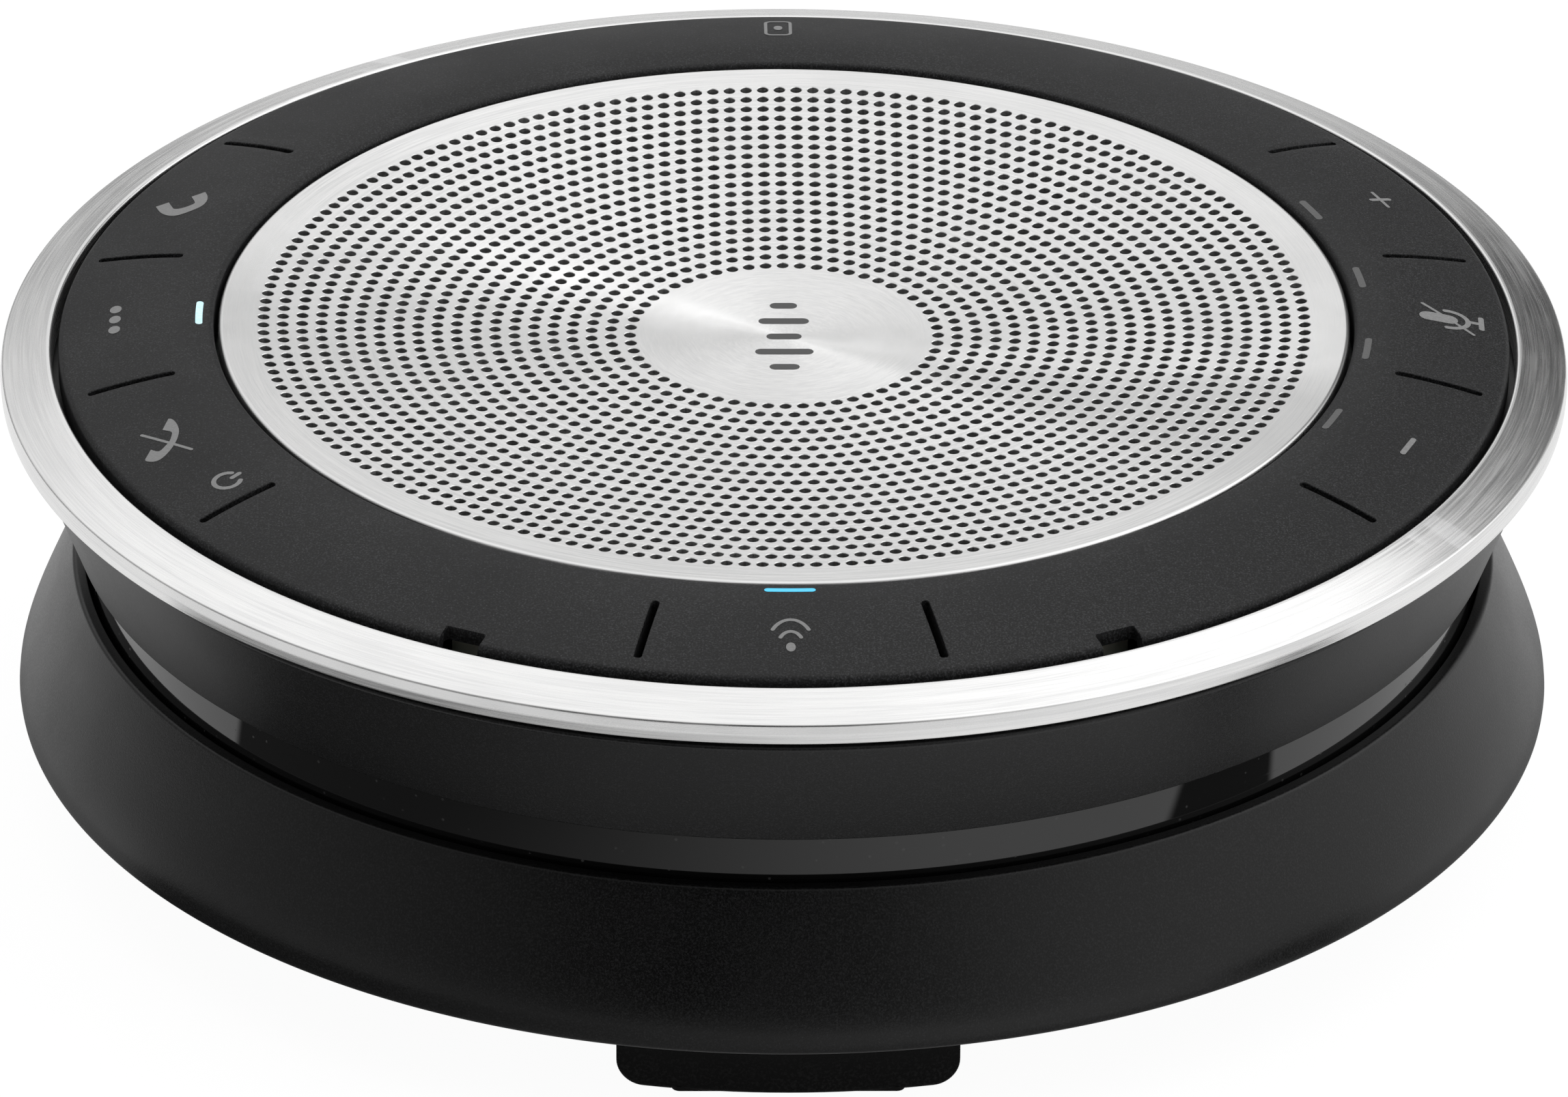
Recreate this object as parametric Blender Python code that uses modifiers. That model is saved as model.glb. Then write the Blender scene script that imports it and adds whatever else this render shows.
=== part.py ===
"""Conference speakerphone: a round table-top speaker with a dished metal grille, a ring of soft-touch keys,
a waisted housing and four feet. Z is up, the middle of the underside is the origin and +Y is the back."""

from math import asin, cos, pi, radians, sin

import bmesh
import bpy
from mathutils import Matrix, Vector

MM = 0.001

# Facets round one full turn.
STEPS_LARGE = 60
STEPS_MEDIUM = 32
STEPS_SMALL = 12

# Overall figure, in millimetres.
RIM_R = 61.0
RIM_INNER_R = 57.0
RIM_TOP_Z = 37.13
RIM_BOTTOM_Z = 34.4
GRILLE_R = 44.0
GRILLE_CENTRE_Z = 37.0
GRILLE_SPHERE_R = 524.0
GRILLE_SHEET = 0.5
WAIST_R = 54.5
SKIRT_TOP_R = 55.7
SKIRT_TOP_Z = 19.2
SKIRT_R = 60.1
SKIRT_BOTTOM_Z = 7.25

# Keypad ring: crown heights from its inner edge to its outer edge, and its windows.
CROWN = ((44.35, 38.72), (44.6, 38.98), (46.5, 39.1), (48.5, 39.05), (51.0, 38.7), (53.0, 38.3),
         (54.9, 37.8), (56.1, 37.47), (56.45, 37.2))
RING_UNDERSIDE_Z = 36.7
RING_LIP_Z = 35.4
WINDOW_INNER_R = 46.9
WINDOW_OUTER_R = 55.2
KEY_INNER_R = 47.2
KEY_OUTER_R = 54.9
KEY_UNDERSIDE_Z = 37.0
KEY_RIB_Z = 36.5
KEY_AXIS_R = 46.7
KEY_AXIS_Z = 38.0
KEY_HALF_ANGLE = 12.0
SLOT_HALF_WIDTH = 0.3
KEYS = (("key_answer_call", 156.0), ("key_menu", 180.0), ("key_end_call", 204.0),
        ("key_volume_up", 24.0), ("key_mute", 0.0), ("key_volume_down", -24.0), ("key_pairing", -90.0))
WINDOWS = ((180.0, 36.0), (0.0, 36.0), (-90.0, 12.0))
SWITCH_R = 52.2

# Indicator light pipes, on one circle just inside the keys.
PIPE_R = 45.5
PIPE_LENGTH = 3.8
PIPE_WIDTH = 0.6
PIPES = (("light_pipe_menu", 180.0), ("light_pipe_pairing", -90.0), ("light_pipe_level_1", -23.1),
         ("light_pipe_level_2", -7.7), ("light_pipe_level_3", 7.7), ("light_pipe_level_4", 23.1))

MIC_ANGLES = (-115.8, -64.2)
MIC_R = 53.0
NOTCH_WIDTH = 3.4

# Loudspeaker.
CONE_R = 28.3
COIL_R = 9.85
FLANGE_R = 41.0
SPEAKER_SCREW_R = 39.2
SPEAKER_SCREW_ANGLES = (30.0, 150.0, 270.0)

# Base.
BASE_SCREW_R = 48.0
BASE_SCREW_ANGLES = (45.0, 135.0, 225.0, 315.0)
COVER_BOTTOM_Z = 5.6
COVER_TOP_Z = 7.4
FOOT_INNER_R = 47.5
FOOT_OUTER_R = 53.6
FOOT_HALF_WIDTH = 13.0
FOOT_BODY_Z = 0.6
FOOT_TOP_Z = 5.3
FOOT_ANGLES = (("foot_front", -90.0), ("foot_right", 0.0), ("foot_back", 90.0), ("foot_left", 180.0))
USB_Z = 12.8
USB_SLOT_WIDTH = 9.6
USB_SLOT_HEIGHT = 3.8


def clear_scene():
    for obj in list(bpy.data.objects):
        bpy.data.objects.remove(obj, do_unlink=True)
    for collection in list(bpy.data.collections):
        bpy.data.collections.remove(collection)


def new_collection(name):
    collection = bpy.data.collections.new(name)
    bpy.context.scene.collection.children.link(collection)
    return collection


def make_material(name, colour, roughness, metallic=0.0):
    material = bpy.data.materials.new(name)
    material.use_nodes = True
    shader = material.node_tree.nodes["Principled BSDF"]
    shader.inputs["Base Color"].default_value = (*colour, 1.0)
    shader.inputs["Roughness"].default_value = roughness
    shader.inputs["Metallic"].default_value = metallic
    material.diffuse_color = (*colour, 1.0)
    return material


def add_object(name, mesh, material=None, helper=False):
    obj = bpy.data.objects.new(name, mesh)
    if helper:
        cutters.objects.link(obj)
        obj.hide_render = True
        obj.display_type = "WIRE"
    else:
        product.objects.link(obj)
        mesh.materials.append(material)
    return obj


def turned(name, outline, material=None, steps=STEPS_LARGE, helper=False):
    """A solid of revolution. The outline is (radius, height) in millimetres, running down the outer side.
    One that starts and ends on the axis stays open there, any other one is closed into a loop."""
    mesh = bpy.data.meshes.new(name)
    points = [(r * MM, 0.0, z * MM) for r, z in outline]
    count = len(points)
    edges = [(i, i + 1) for i in range(count - 1)]
    if outline[0][0] > 0.0:
        edges.append((count - 1, 0))
    mesh.from_pydata(points, edges, [])
    obj = add_object(name, mesh, material, helper)
    screw = obj.modifiers.new("Turn", "SCREW")
    screw.axis = "Z"
    screw.angle = 2.0 * pi
    screw.steps = steps
    screw.render_steps = steps
    screw.use_merge_vertices = True
    screw.merge_threshold = 0.00001
    screw.use_smooth_shade = True
    return obj


def boxes(name, items, material=None, helper=False):
    """Boxes in one mesh. Each item is (size, centre, turn about Z in degrees), turned after it is placed."""
    mesh = bpy.data.meshes.new(name)
    shape = bmesh.new()
    for size, centre, angle in items:
        place = turn_matrix(angle) @ Matrix.Translation(Vector(centre) * MM)
        scale = Matrix.Diagonal((size[0] * MM, size[1] * MM, size[2] * MM, 1.0))
        bmesh.ops.create_cube(shape, size=1.0, matrix=place @ scale)
    shape.to_mesh(mesh)
    shape.free()
    return add_object(name, mesh, material, helper)


def posts(name, radius, bottom, top, distance, angles, helper=True):
    """Upright round posts of one size, at one distance from the axis."""
    mesh = bpy.data.meshes.new(name)
    shape = bmesh.new()
    for angle in angles:
        place = turn_matrix(angle) @ Matrix.Translation((distance * MM, 0.0, (top + bottom) / 2 * MM))
        bmesh.ops.create_cone(shape, cap_ends=True, segments=STEPS_SMALL, radius1=radius * MM,
                              radius2=radius * MM, depth=(top - bottom) * MM, matrix=place)
    shape.to_mesh(mesh)
    shape.free()
    return add_object(name, mesh, None, helper)


def plates(name, outlines, thickness, place, material=None, helper=False):
    """Flat outlines in one plane, given a thickness to both sides of it and placed by a matrix."""
    curve = bpy.data.curves.new(name, "CURVE")
    curve.dimensions = "2D"
    curve.fill_mode = "BOTH"
    curve.extrude = thickness / 2 * MM
    for outline in outlines:
        spline = curve.splines.new("POLY")
        spline.points.add(len(outline) - 1)
        for point, (x, y) in zip(spline.points, outline):
            point.co = (x * MM, y * MM, 0.0, 1.0)
        spline.use_cyclic_u = True
    drawn = bpy.data.objects.new(name + "_outline", curve)
    cutters.objects.link(drawn)
    bpy.context.view_layer.update()
    graph = bpy.context.evaluated_depsgraph_get()
    mesh = bpy.data.meshes.new_from_object(drawn.evaluated_get(graph))
    bpy.data.objects.remove(drawn, do_unlink=True)
    shape = bmesh.new()
    shape.from_mesh(mesh)
    bmesh.ops.remove_doubles(shape, verts=shape.verts, dist=0.000001)
    bmesh.ops.recalc_face_normals(shape, faces=shape.faces)
    shape.to_mesh(mesh)
    shape.free()
    mesh.name = name
    mesh.materials.clear()
    obj = add_object(name, mesh, material, helper)
    obj.matrix_world = place
    return obj


def turn_matrix(angle):
    return Matrix.Rotation(radians(angle), 4, "Z")


def level(height, angle=0.0):
    return turn_matrix(angle) @ Matrix.Translation((0.0, 0.0, height * MM))


def upright(x, y, z, angle=0.0):
    """Stands an outline's plane on edge, facing -Y before the turn about Z."""
    return turn_matrix(angle) @ Matrix.Translation((x * MM, y * MM, z * MM)) @ Matrix.Rotation(pi / 2, 4, "X")


def turn_points(points, angle):
    c = cos(radians(angle))
    s = sin(radians(angle))
    return [(x * c - y * s, x * s + y * c) for x, y in points]


def rounded_rectangle(width, depth, radius, x=0.0, y=0.0, corner_steps=4):
    points = []
    for quarter, (sx, sy) in enumerate(((1, 1), (-1, 1), (-1, -1), (1, -1))):
        cx = x + sx * (width / 2 - radius)
        cy = y + sy * (depth / 2 - radius)
        for step in range(corner_steps + 1):
            angle = (quarter + step / corner_steps) * pi / 2
            points.append((cx + radius * cos(angle), cy + radius * sin(angle)))
    return points


def sector(inner, outer, half_angle, inset=0.0, steps=8, centre=0.0):
    """A ring sector about its centre angle, with straight radial sides moved in by the inset."""
    points = []
    for radius, direction in ((outer, 1), (inner, -1)):
        edge = radians(half_angle) - asin(inset / radius)
        for i in range(steps + 1):
            angle = direction * edge * (2 * i / steps - 1)
            points.append((radius * cos(angle), radius * sin(angle)))
    return turn_points(points, centre)


def boolean(obj, cutter, operation):
    modifier = obj.modifiers.new(operation.title(), "BOOLEAN")
    modifier.operation = operation
    modifier.solver = "EXACT"
    modifier.object = cutter


def on_circle(radius, angle):
    return radius * cos(radians(angle)), radius * sin(radians(angle))


def crown_height(radius):
    for (r0, z0), (r1, z1) in zip(CROWN, CROWN[1:]):
        if r0 <= radius <= r1:
            return z0 + (z1 - z0) * (radius - r0) / (r1 - r0)
    return CROWN[-1][1]


def grille_height(radius):
    return GRILLE_CENTRE_Z + radius * radius / (2.0 * GRILLE_SPHERE_R)


def make_top():
    """The metal rim, the dished grille and its acoustic cloth."""
    turned("metal_rim", [
        (RIM_INNER_R, RIM_TOP_Z - 0.25), (RIM_INNER_R + 0.25, RIM_TOP_Z), (60.1, 36.25), (60.6, 35.98),
        (60.9, 35.6), (RIM_R, 35.2), (60.95, RIM_BOTTOM_Z + 0.2), (60.75, RIM_BOTTOM_Z),
        (RIM_INNER_R, RIM_BOTTOM_Z)], rim_metal)
    dish = [(r, grille_height(r)) for r in (0.0, 15.0, 30.0, 43.7)]
    dish += [(GRILLE_R, grille_height(GRILLE_R) - 0.2), (GRILLE_R, 37.2), (GRILLE_R - GRILLE_SHEET, 37.2)]
    dish += [(r, grille_height(r) - GRILLE_SHEET) for r in (43.5, 30.0, 15.0, 0.0)]
    turned("speaker_grille", dish, grille_metal)
    turned("grille_cloth", [(0.0, 36.4), (42.5, 36.4), (42.5, 36.2), (0.0, 36.2)], cloth, STEPS_MEDIUM)


def make_keypad():
    """The soft-touch ring with its windows, the keys in them, the light pipes, switches and microphones."""
    ring = turned("keypad_ring", list(CROWN) + [
        (56.45, RING_LIP_Z), (55.75, RING_LIP_Z), (55.75, RING_UNDERSIDE_Z), (44.9, RING_UNDERSIDE_Z),
        (44.9, RING_LIP_Z + 0.5), (44.35, RING_LIP_Z + 0.5)], soft_touch)
    windows = [sector(WINDOW_INNER_R, WINDOW_OUTER_R, half, -SLOT_HALF_WIDTH, int(half / 3.0), centre)
               for centre, half in WINDOWS]
    boolean(ring, plates("keypad_ring_windows", windows, 20.0, level(38.0), helper=True), "DIFFERENCE")
    slots = [((PIPE_WIDTH + 0.6, PIPE_LENGTH + 0.6, 20.0), (PIPE_R, 0.0, 38.0), angle) for _, angle in PIPES]
    slots += [((1.6, NOTCH_WIDTH, 20.0), (56.45, 0.0, 38.0), angle) for angle in MIC_ANGLES]
    boolean(ring, boxes("keypad_ring_slots", slots, helper=True), "DIFFERENCE")

    inner_z = crown_height(KEY_INNER_R)
    outer_z = crown_height(KEY_OUTER_R)
    key_outline = [(KEY_INNER_R, inner_z)] + [p for p in CROWN if KEY_INNER_R < p[0] < KEY_OUTER_R]
    key_outline += [(KEY_OUTER_R, outer_z), (KEY_OUTER_R, KEY_UNDERSIDE_Z), (53.0, KEY_UNDERSIDE_Z),
                    (53.0, KEY_RIB_Z), (51.4, KEY_RIB_Z), (51.4, KEY_UNDERSIDE_Z + 0.2),
                    (KEY_INNER_R, KEY_UNDERSIDE_Z + 0.2)]
    wedge = [sector(40.0, 60.0, KEY_HALF_ANGLE, SLOT_HALF_WIDTH, 2)]
    for name, angle in KEYS:
        pivot = bpy.data.objects.new(name + "_pivot", None)
        product.objects.link(pivot)
        x, y = on_circle(KEY_AXIS_R, angle)
        pivot.location = (x * MM, y * MM, KEY_AXIS_Z * MM)
        pivot.rotation_euler = (0.0, 0.0, radians(angle))
        key = turned(name, key_outline, soft_touch)
        boolean(key, plates(name + "_wedge", wedge, 20.0, level(38.0, angle), helper=True), "INTERSECT")
        key.parent = pivot
        bpy.context.view_layer.update()
        key.matrix_parent_inverse = pivot.matrix_world.inverted()
        switch_name = "switch_" + name[4:]
        switch = boxes(switch_name, [((3.4, 4.4, 0.35), (SWITCH_R, 0.0, 35.575), angle)], switch_metal)
        boolean(switch, posts(switch_name + "_dome", 1.1, 35.6, 36.1, SWITCH_R, (angle,)), "UNION")

    for name, angle in PIPES:
        length = crown_height(PIPE_R) - RING_LIP_Z
        bar = rounded_rectangle(PIPE_WIDTH, PIPE_LENGTH, PIPE_WIDTH / 2 - 0.01, PIPE_R, 0.0, 3)
        pipe_material = blue_light if name == "light_pipe_pairing" else white_light
        if "level" in name:
            pipe_material = dim_light
        plates(name, [bar], length, level(RING_LIP_Z + length / 2, angle), pipe_material)

    board = turned("keypad_board", [(56.0, 35.1), (56.0, 34.3), (43.8, 34.3), (43.8, 35.1)], board_green)
    notch = boxes("keypad_board_notch", [((10.0, 4.2, 10.0), (0.0, -43.6, 35.0), 0.0)], helper=True)
    boolean(board, notch, "DIFFERENCE")
    for name, angle in zip(("microphone_left", "microphone_right"), MIC_ANGLES):
        boxes(name, [((2.6, 3.5, 1.0), (MIC_R, 0.0, 35.9), angle)], switch_metal)
    coil = boxes("tap_antenna", [((22.0, 8.0, 0.2), (0.0, 50.0, 35.5), 0.0)], film)
    middle = boxes("tap_antenna_middle", [((18.6, 4.6, 5.0), (0.0, 50.0, 35.5), 0.0)], helper=True)
    boolean(coil, middle, "DIFFERENCE")


def make_upper_housing():
    """The conical wall under the rim, with the deck that carries the keypad and the loudspeaker."""
    housing = turned("upper_housing", [
        (58.6, 34.1), (58.6, 33.2), (59.3, 33.2), (59.4, 33.0), (55.75, 23.5), (55.6, 23.4), (53.6, 23.4),
        (56.9, 31.8), (42.8, 31.8), (42.8, 31.0), (34.0, 31.0), (34.0, 32.9), (41.6, 32.9), (42.8, 34.0)],
        black_plastic)
    boolean(housing, posts("housing_posts", 3.2, 17.0, 32.4, BASE_SCREW_R, BASE_SCREW_ANGLES), "UNION")
    boolean(housing, posts("housing_bores", 1.55, 10.0, 27.0, BASE_SCREW_R, BASE_SCREW_ANGLES), "DIFFERENCE")
    screw_holes = posts("deck_screw_holes", 1.2, 29.0, 35.0, SPEAKER_SCREW_R, SPEAKER_SCREW_ANGLES)
    boolean(housing, screw_holes, "DIFFERENCE")
    ribbon_slot = boxes("deck_ribbon_slot", [((10.0, 2.0, 8.0), (0.0, -45.6, 32.5), 0.0)], helper=True)
    boolean(housing, ribbon_slot, "DIFFERENCE")
    turned("waist_band", [
        (WAIST_R, 23.1), (WAIST_R, 18.0), (54.0, 17.0), (51.6, 17.0), (51.6, 23.1)], gloss_black)


def make_loudspeaker():
    basket = turned("speaker_basket", [
        (FLANGE_R, 34.0), (FLANGE_R, 33.2), (32.8, 33.2), (20.8, 22.6), (12.6, 22.6), (12.6, 23.4),
        (20.4, 23.4), (31.6, 33.3), (31.6, 34.0)], basket_steel, STEPS_MEDIUM)
    flange_holes = posts("flange_screw_holes", 1.2, 30.0, 36.0, SPEAKER_SCREW_R, SPEAKER_SCREW_ANGLES)
    boolean(basket, flange_holes, "DIFFERENCE")
    vents = [sector(22.5, 30.0, 20.0, 0.0, 4, number * 60.0) for number in range(6)]
    boolean(basket, plates("basket_vents", vents, 12.2, level(26.1), helper=True), "DIFFERENCE")
    turned("speaker_gasket", [(37.2, 35.9), (37.2, 34.3), (35.0, 34.3), (35.0, 35.9)], foam, STEPS_MEDIUM)
    turned("cone_surround", [
        (34.6, 34.7), (34.6, 34.3), (32.2, 34.3), (31.2, 35.0), (29.4, 35.0), (28.65, 34.3),
        (28.35, 34.75), (29.1, 35.5), (31.5, 35.5), (32.5, 34.7)], surround_rubber, STEPS_MEDIUM)
    turned("speaker_cone", [
        (CONE_R, 34.4), (10.7, 26.4), (10.7, 25.9), (10.35, 25.9), (10.35, 26.7), (27.6, 34.6)],
        cone_paper, STEPS_MEDIUM)
    turned("dust_cap", [
        (0.0, 30.4), (4.0, 30.0), (7.5, 28.9), (9.9, 27.3), (9.9, 26.9), (9.5, 26.9), (7.2, 28.4),
        (3.9, 29.5), (0.0, 29.9)], cone_paper, STEPS_MEDIUM)
    turned("voice_coil", [
        (COIL_R + 0.2, 26.6), (COIL_R + 0.2, 17.4), (COIL_R - 0.2, 17.4), (COIL_R - 0.2, 26.6)],
        copper, STEPS_MEDIUM)
    turned("cone_spider", [
        (19.6, 24.2), (19.6, 23.7), (16.6, 24.3), (13.6, 23.8), (10.35, 24.3), (10.35, 24.8),
        (13.6, 24.3), (16.6, 24.8)], cloth, STEPS_MEDIUM)
    turned("magnet_top_plate", [(18.6, 22.3), (18.6, 20.1), (10.6, 20.1), (10.6, 22.3)], steel, STEPS_MEDIUM)
    turned("speaker_magnet", [
        (18.2, 19.8), (18.2, 16.2), (12.4, 16.2), (12.4, 19.8)], magnet_grey, STEPS_MEDIUM)
    turned("magnet_yoke", [
        (0.0, 22.3), (9.1, 22.3), (9.1, 15.9), (18.6, 15.9), (18.6, 13.4), (0.0, 13.4)], steel, STEPS_MEDIUM)
    for number, angle in enumerate(SPEAKER_SCREW_ANGLES, 1):
        x, y = on_circle(SPEAKER_SCREW_R, angle)
        screw = turned(f"speaker_screw_{number}", [
            (0.0, 35.2), (0.9, 35.2), (1.6, 34.7), (1.6, 34.3), (0.85, 34.3), (0.85, 30.2), (0.0, 30.2)],
            steel, STEPS_SMALL)
        screw.location = (x * MM, y * MM, 0.0)


def make_base():
    """The flared skirt, the cover that closes it, and the four feet."""
    skirt = turned("base_skirt", [
        (55.2, SKIRT_TOP_Z), (SKIRT_TOP_R, SKIRT_TOP_Z), (57.2, 16.0), (58.55, 13.0), (59.45, 10.8),
        (59.95, 9.2), (SKIRT_R, 8.0), (59.8, SKIRT_BOTTOM_Z), (58.4, SKIRT_BOTTOM_Z), (57.6, 10.6),
        (56.0, 14.8), (46.0, 14.8), (46.0, 16.5), (54.4, 16.5)], matte_black)
    boolean(skirt, posts("skirt_bores", 1.6, 10.0, 20.0, BASE_SCREW_R, BASE_SCREW_ANGLES), "DIFFERENCE")
    slot = [rounded_rectangle(USB_SLOT_WIDTH, USB_SLOT_HEIGHT, 1.85)]
    boolean(skirt, plates("skirt_usb_slot", slot, 12.0, upright(0.0, 56.0, USB_Z), helper=True), "DIFFERENCE")

    cover = turned("bottom_cover", [
        (0.0, COVER_TOP_Z), (57.5, COVER_TOP_Z), (57.8, 7.1), (55.5, COVER_BOTTOM_Z), (0.0, COVER_BOTTOM_Z)],
        matte_black)
    boolean(cover, posts("cover_wells", 3.0, 4.0, 6.6, BASE_SCREW_R, BASE_SCREW_ANGLES), "DIFFERENCE")
    boolean(cover, posts("cover_holes", 1.6, 4.0, 9.0, BASE_SCREW_R, BASE_SCREW_ANGLES), "DIFFERENCE")

    half = FOOT_HALF_WIDTH
    low = FOOT_BODY_Z
    front_view = [(-half, 9.0), (-half, 4.8), (-half + 0.35, 3.0), (-half + 0.9, 1.7), (-half + 1.7, 0.9),
                  (-half + 2.6, low), (half - 2.6, low), (half - 1.7, 0.9), (half - 0.9, 1.7),
                  (half - 0.35, 3.0), (half, 4.8), (half, 9.0)]
    for name, angle in FOOT_ANGLES:
        foot = turned(name, [
            (FOOT_OUTER_R, FOOT_TOP_Z), (FOOT_OUTER_R, low + 0.5), (FOOT_OUTER_R - 0.5, low - 0.2),
            (FOOT_INNER_R + 0.5, low - 0.2), (FOOT_INNER_R, low + 0.5), (FOOT_INNER_R, FOOT_TOP_Z)],
            foot_rubber)
        facing = upright(0.0, -50.0, 0.0, angle + 90.0)
        block = plates(name + "_block", [front_view], 20.0, facing, helper=True)
        boolean(foot, block, "INTERSECT")
        pads = [rounded_rectangle(4.6, 7.1, 0.6, 50.7, side * 5.25, 2) for side in (-1, 1)]
        pad_height = FOOT_BODY_Z + 0.6
        pair = plates(name + "_pads", pads, pad_height, level(pad_height / 2, angle), helper=True)
        boolean(foot, pair, "UNION")
    for number, angle in enumerate(BASE_SCREW_ANGLES, 1):
        x, y = on_circle(BASE_SCREW_R, angle)
        screw = turned(f"base_screw_{number}", [
            (0.0, 25.0), (1.25, 25.0), (1.25, 6.3), (2.6, 6.3), (2.6, 5.75), (2.2, 5.65), (0.0, 5.65)],
            steel, STEPS_SMALL)
        screw.location = (x * MM, y * MM, 0.0)


def make_electronics():
    plates("battery", [rounded_rectangle(50.0, 34.0, 1.5)], 5.0, level(10.3), battery_blue)
    plates("main_board", [rounded_rectangle(58.0, 19.0, 1.0, 0.0, -36.0, 2)], 1.2, level(10.2), board_green)
    can = rounded_rectangle(18.0, 12.0, 0.5, -12.0, -36.0, 2)
    plates("shield_can", [can], 2.1, level(12.15), shield_metal)
    boxes("keypad_ribbon", [((8.0, 0.3, 24.1), (0.0, -45.0, 23.15), 0.0)], film)
    plates("usb_board", [rounded_rectangle(19.0, 13.0, 0.8, 0.0, 48.5, 2)], 1.0, level(10.2), board_green)
    shell = rounded_rectangle(9.0, 3.2, 1.55)
    socket = plates("usb_socket", [shell], 7.6, upright(0.0, 53.4, USB_Z), shield_metal)
    mouth = rounded_rectangle(8.4, 2.6, 1.25)
    cavity = plates("usb_socket_mouth", [mouth], 7.2, upright(0.0, 54.6, USB_Z), helper=True)
    boolean(socket, cavity, "DIFFERENCE")
    boolean(socket, boxes("usb_tongue", [((6.4, 5.8, 0.7), (0.0, 53.3, USB_Z), 0.0)], helper=True), "UNION")


clear_scene()
product = new_collection("conference_speakerphone")
cutters = new_collection("cutters")
cutters.hide_render = True

rim_metal = make_material("brushed_steel_rim", (0.78, 0.78, 0.77), 0.28, 1.0)
grille_metal = make_material("brushed_steel_grille", (0.72, 0.72, 0.72), 0.32, 1.0)
soft_touch = make_material("soft_touch_rubber", (0.035, 0.035, 0.037), 0.6)
black_plastic = make_material("black_plastic", (0.02, 0.02, 0.021), 0.5)
matte_black = make_material("matte_black_plastic", (0.016, 0.016, 0.017), 0.55)
gloss_black = make_material("gloss_black_plastic", (0.008, 0.008, 0.009), 0.08)
foot_rubber = make_material("foot_rubber", (0.012, 0.012, 0.012), 0.75)
surround_rubber = make_material("surround_rubber", (0.02, 0.02, 0.02), 0.6)
foam = make_material("gasket_foam", (0.03, 0.03, 0.03), 0.95)
cloth = make_material("acoustic_cloth", (0.01, 0.01, 0.01), 0.95)
film = make_material("polyimide_film", (0.45, 0.2, 0.03), 0.35)
white_light = make_material("lit_white_pipe", (0.8, 0.95, 1.0), 0.2)
blue_light = make_material("lit_blue_pipe", (0.05, 0.45, 1.0), 0.2)
dim_light = make_material("unlit_pipe", (0.3, 0.3, 0.31), 0.35)
cone_paper = make_material("cone_paper", (0.03, 0.03, 0.032), 0.85)
copper = make_material("copper_winding", (0.72, 0.33, 0.16), 0.35, 1.0)
steel = make_material("zinc_plated_steel", (0.6, 0.6, 0.6), 0.35, 1.0)
basket_steel = make_material("painted_basket", (0.05, 0.05, 0.055), 0.45)
magnet_grey = make_material("nickel_magnet", (0.5, 0.5, 0.5), 0.3, 1.0)
shield_metal = make_material("tinned_steel", (0.65, 0.65, 0.63), 0.32, 1.0)
switch_metal = make_material("switch_metal", (0.6, 0.58, 0.52), 0.38, 1.0)
board_green = make_material("board_green", (0.015, 0.09, 0.04), 0.4)
battery_blue = make_material("battery_wrap", (0.02, 0.09, 0.3), 0.4)

make_top()
make_keypad()
make_upper_housing()
make_loudspeaker()
make_base()
make_electronics()
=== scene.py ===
"""Looks of the conference speakerphone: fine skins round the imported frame, their materials, the studio and
the camera. Lengths are in millimetres until a mesh is made. The front is at -Y, and angles run
anticlockwise from +X, seen from above."""

from math import asin, cos, degrees, pi, radians, sin, sqrt, tan

import bpy
import numpy as np
from mathutils import Matrix, Vector
from mathutils.geometry import delaunay_2d_cdt


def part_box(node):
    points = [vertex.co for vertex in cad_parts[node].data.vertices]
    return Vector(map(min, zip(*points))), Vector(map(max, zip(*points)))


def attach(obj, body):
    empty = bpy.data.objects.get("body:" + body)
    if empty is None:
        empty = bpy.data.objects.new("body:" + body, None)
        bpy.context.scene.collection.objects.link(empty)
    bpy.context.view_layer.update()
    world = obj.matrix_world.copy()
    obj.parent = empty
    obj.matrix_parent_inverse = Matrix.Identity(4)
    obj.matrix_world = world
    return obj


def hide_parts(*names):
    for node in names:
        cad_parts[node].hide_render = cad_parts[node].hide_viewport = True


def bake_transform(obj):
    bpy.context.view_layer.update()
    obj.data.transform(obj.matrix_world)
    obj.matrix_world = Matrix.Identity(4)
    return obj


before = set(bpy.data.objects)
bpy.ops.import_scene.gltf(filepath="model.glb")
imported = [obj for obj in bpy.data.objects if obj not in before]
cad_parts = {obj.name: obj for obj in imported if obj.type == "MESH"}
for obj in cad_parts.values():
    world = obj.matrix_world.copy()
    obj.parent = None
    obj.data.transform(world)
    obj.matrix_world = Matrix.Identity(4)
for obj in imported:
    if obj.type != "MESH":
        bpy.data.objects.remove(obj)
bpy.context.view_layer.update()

MM = 0.001
SHARP = 35.0  # degrees between two faces from which their edge is creased
CIRCLE_STEPS = 360


def extent(node):
    """A round node's outer radius, bottom and top."""
    low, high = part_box(node)
    return high.x / MM, low.z / MM, high.z / MM


RIM_R, RIM_LOW, RIM_TOP = extent("metal_rim")
GRILLE_R, GRILLE_LOW, GRILLE_TOP = extent("speaker_grille")
RING_R, RING_LOW, RING_TOP = extent("keypad_ring")
WALL_R, WALL_LOW, WALL_TOP = extent("upper_housing")
BAND_R, BAND_LOW, BAND_TOP = extent("waist_band")
SKIRT_R, SKIRT_LOW, SKIRT_TOP = extent("base_skirt")
COVER_R, COVER_LOW, COVER_TOP = extent("bottom_cover")
CLOTH_R, CLOTH_LOW, CLOTH_TOP = extent("grille_cloth")
GASKET_R, GASKET_LOW, GASKET_TOP = extent("speaker_gasket")
FOOT_OUTER_R, FOOT_HALF, FOOT_TOP = (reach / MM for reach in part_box("foot_right")[1])
USB_Z = (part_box("usb_socket")[0].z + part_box("usb_socket")[1].z) / 2 / MM

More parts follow.
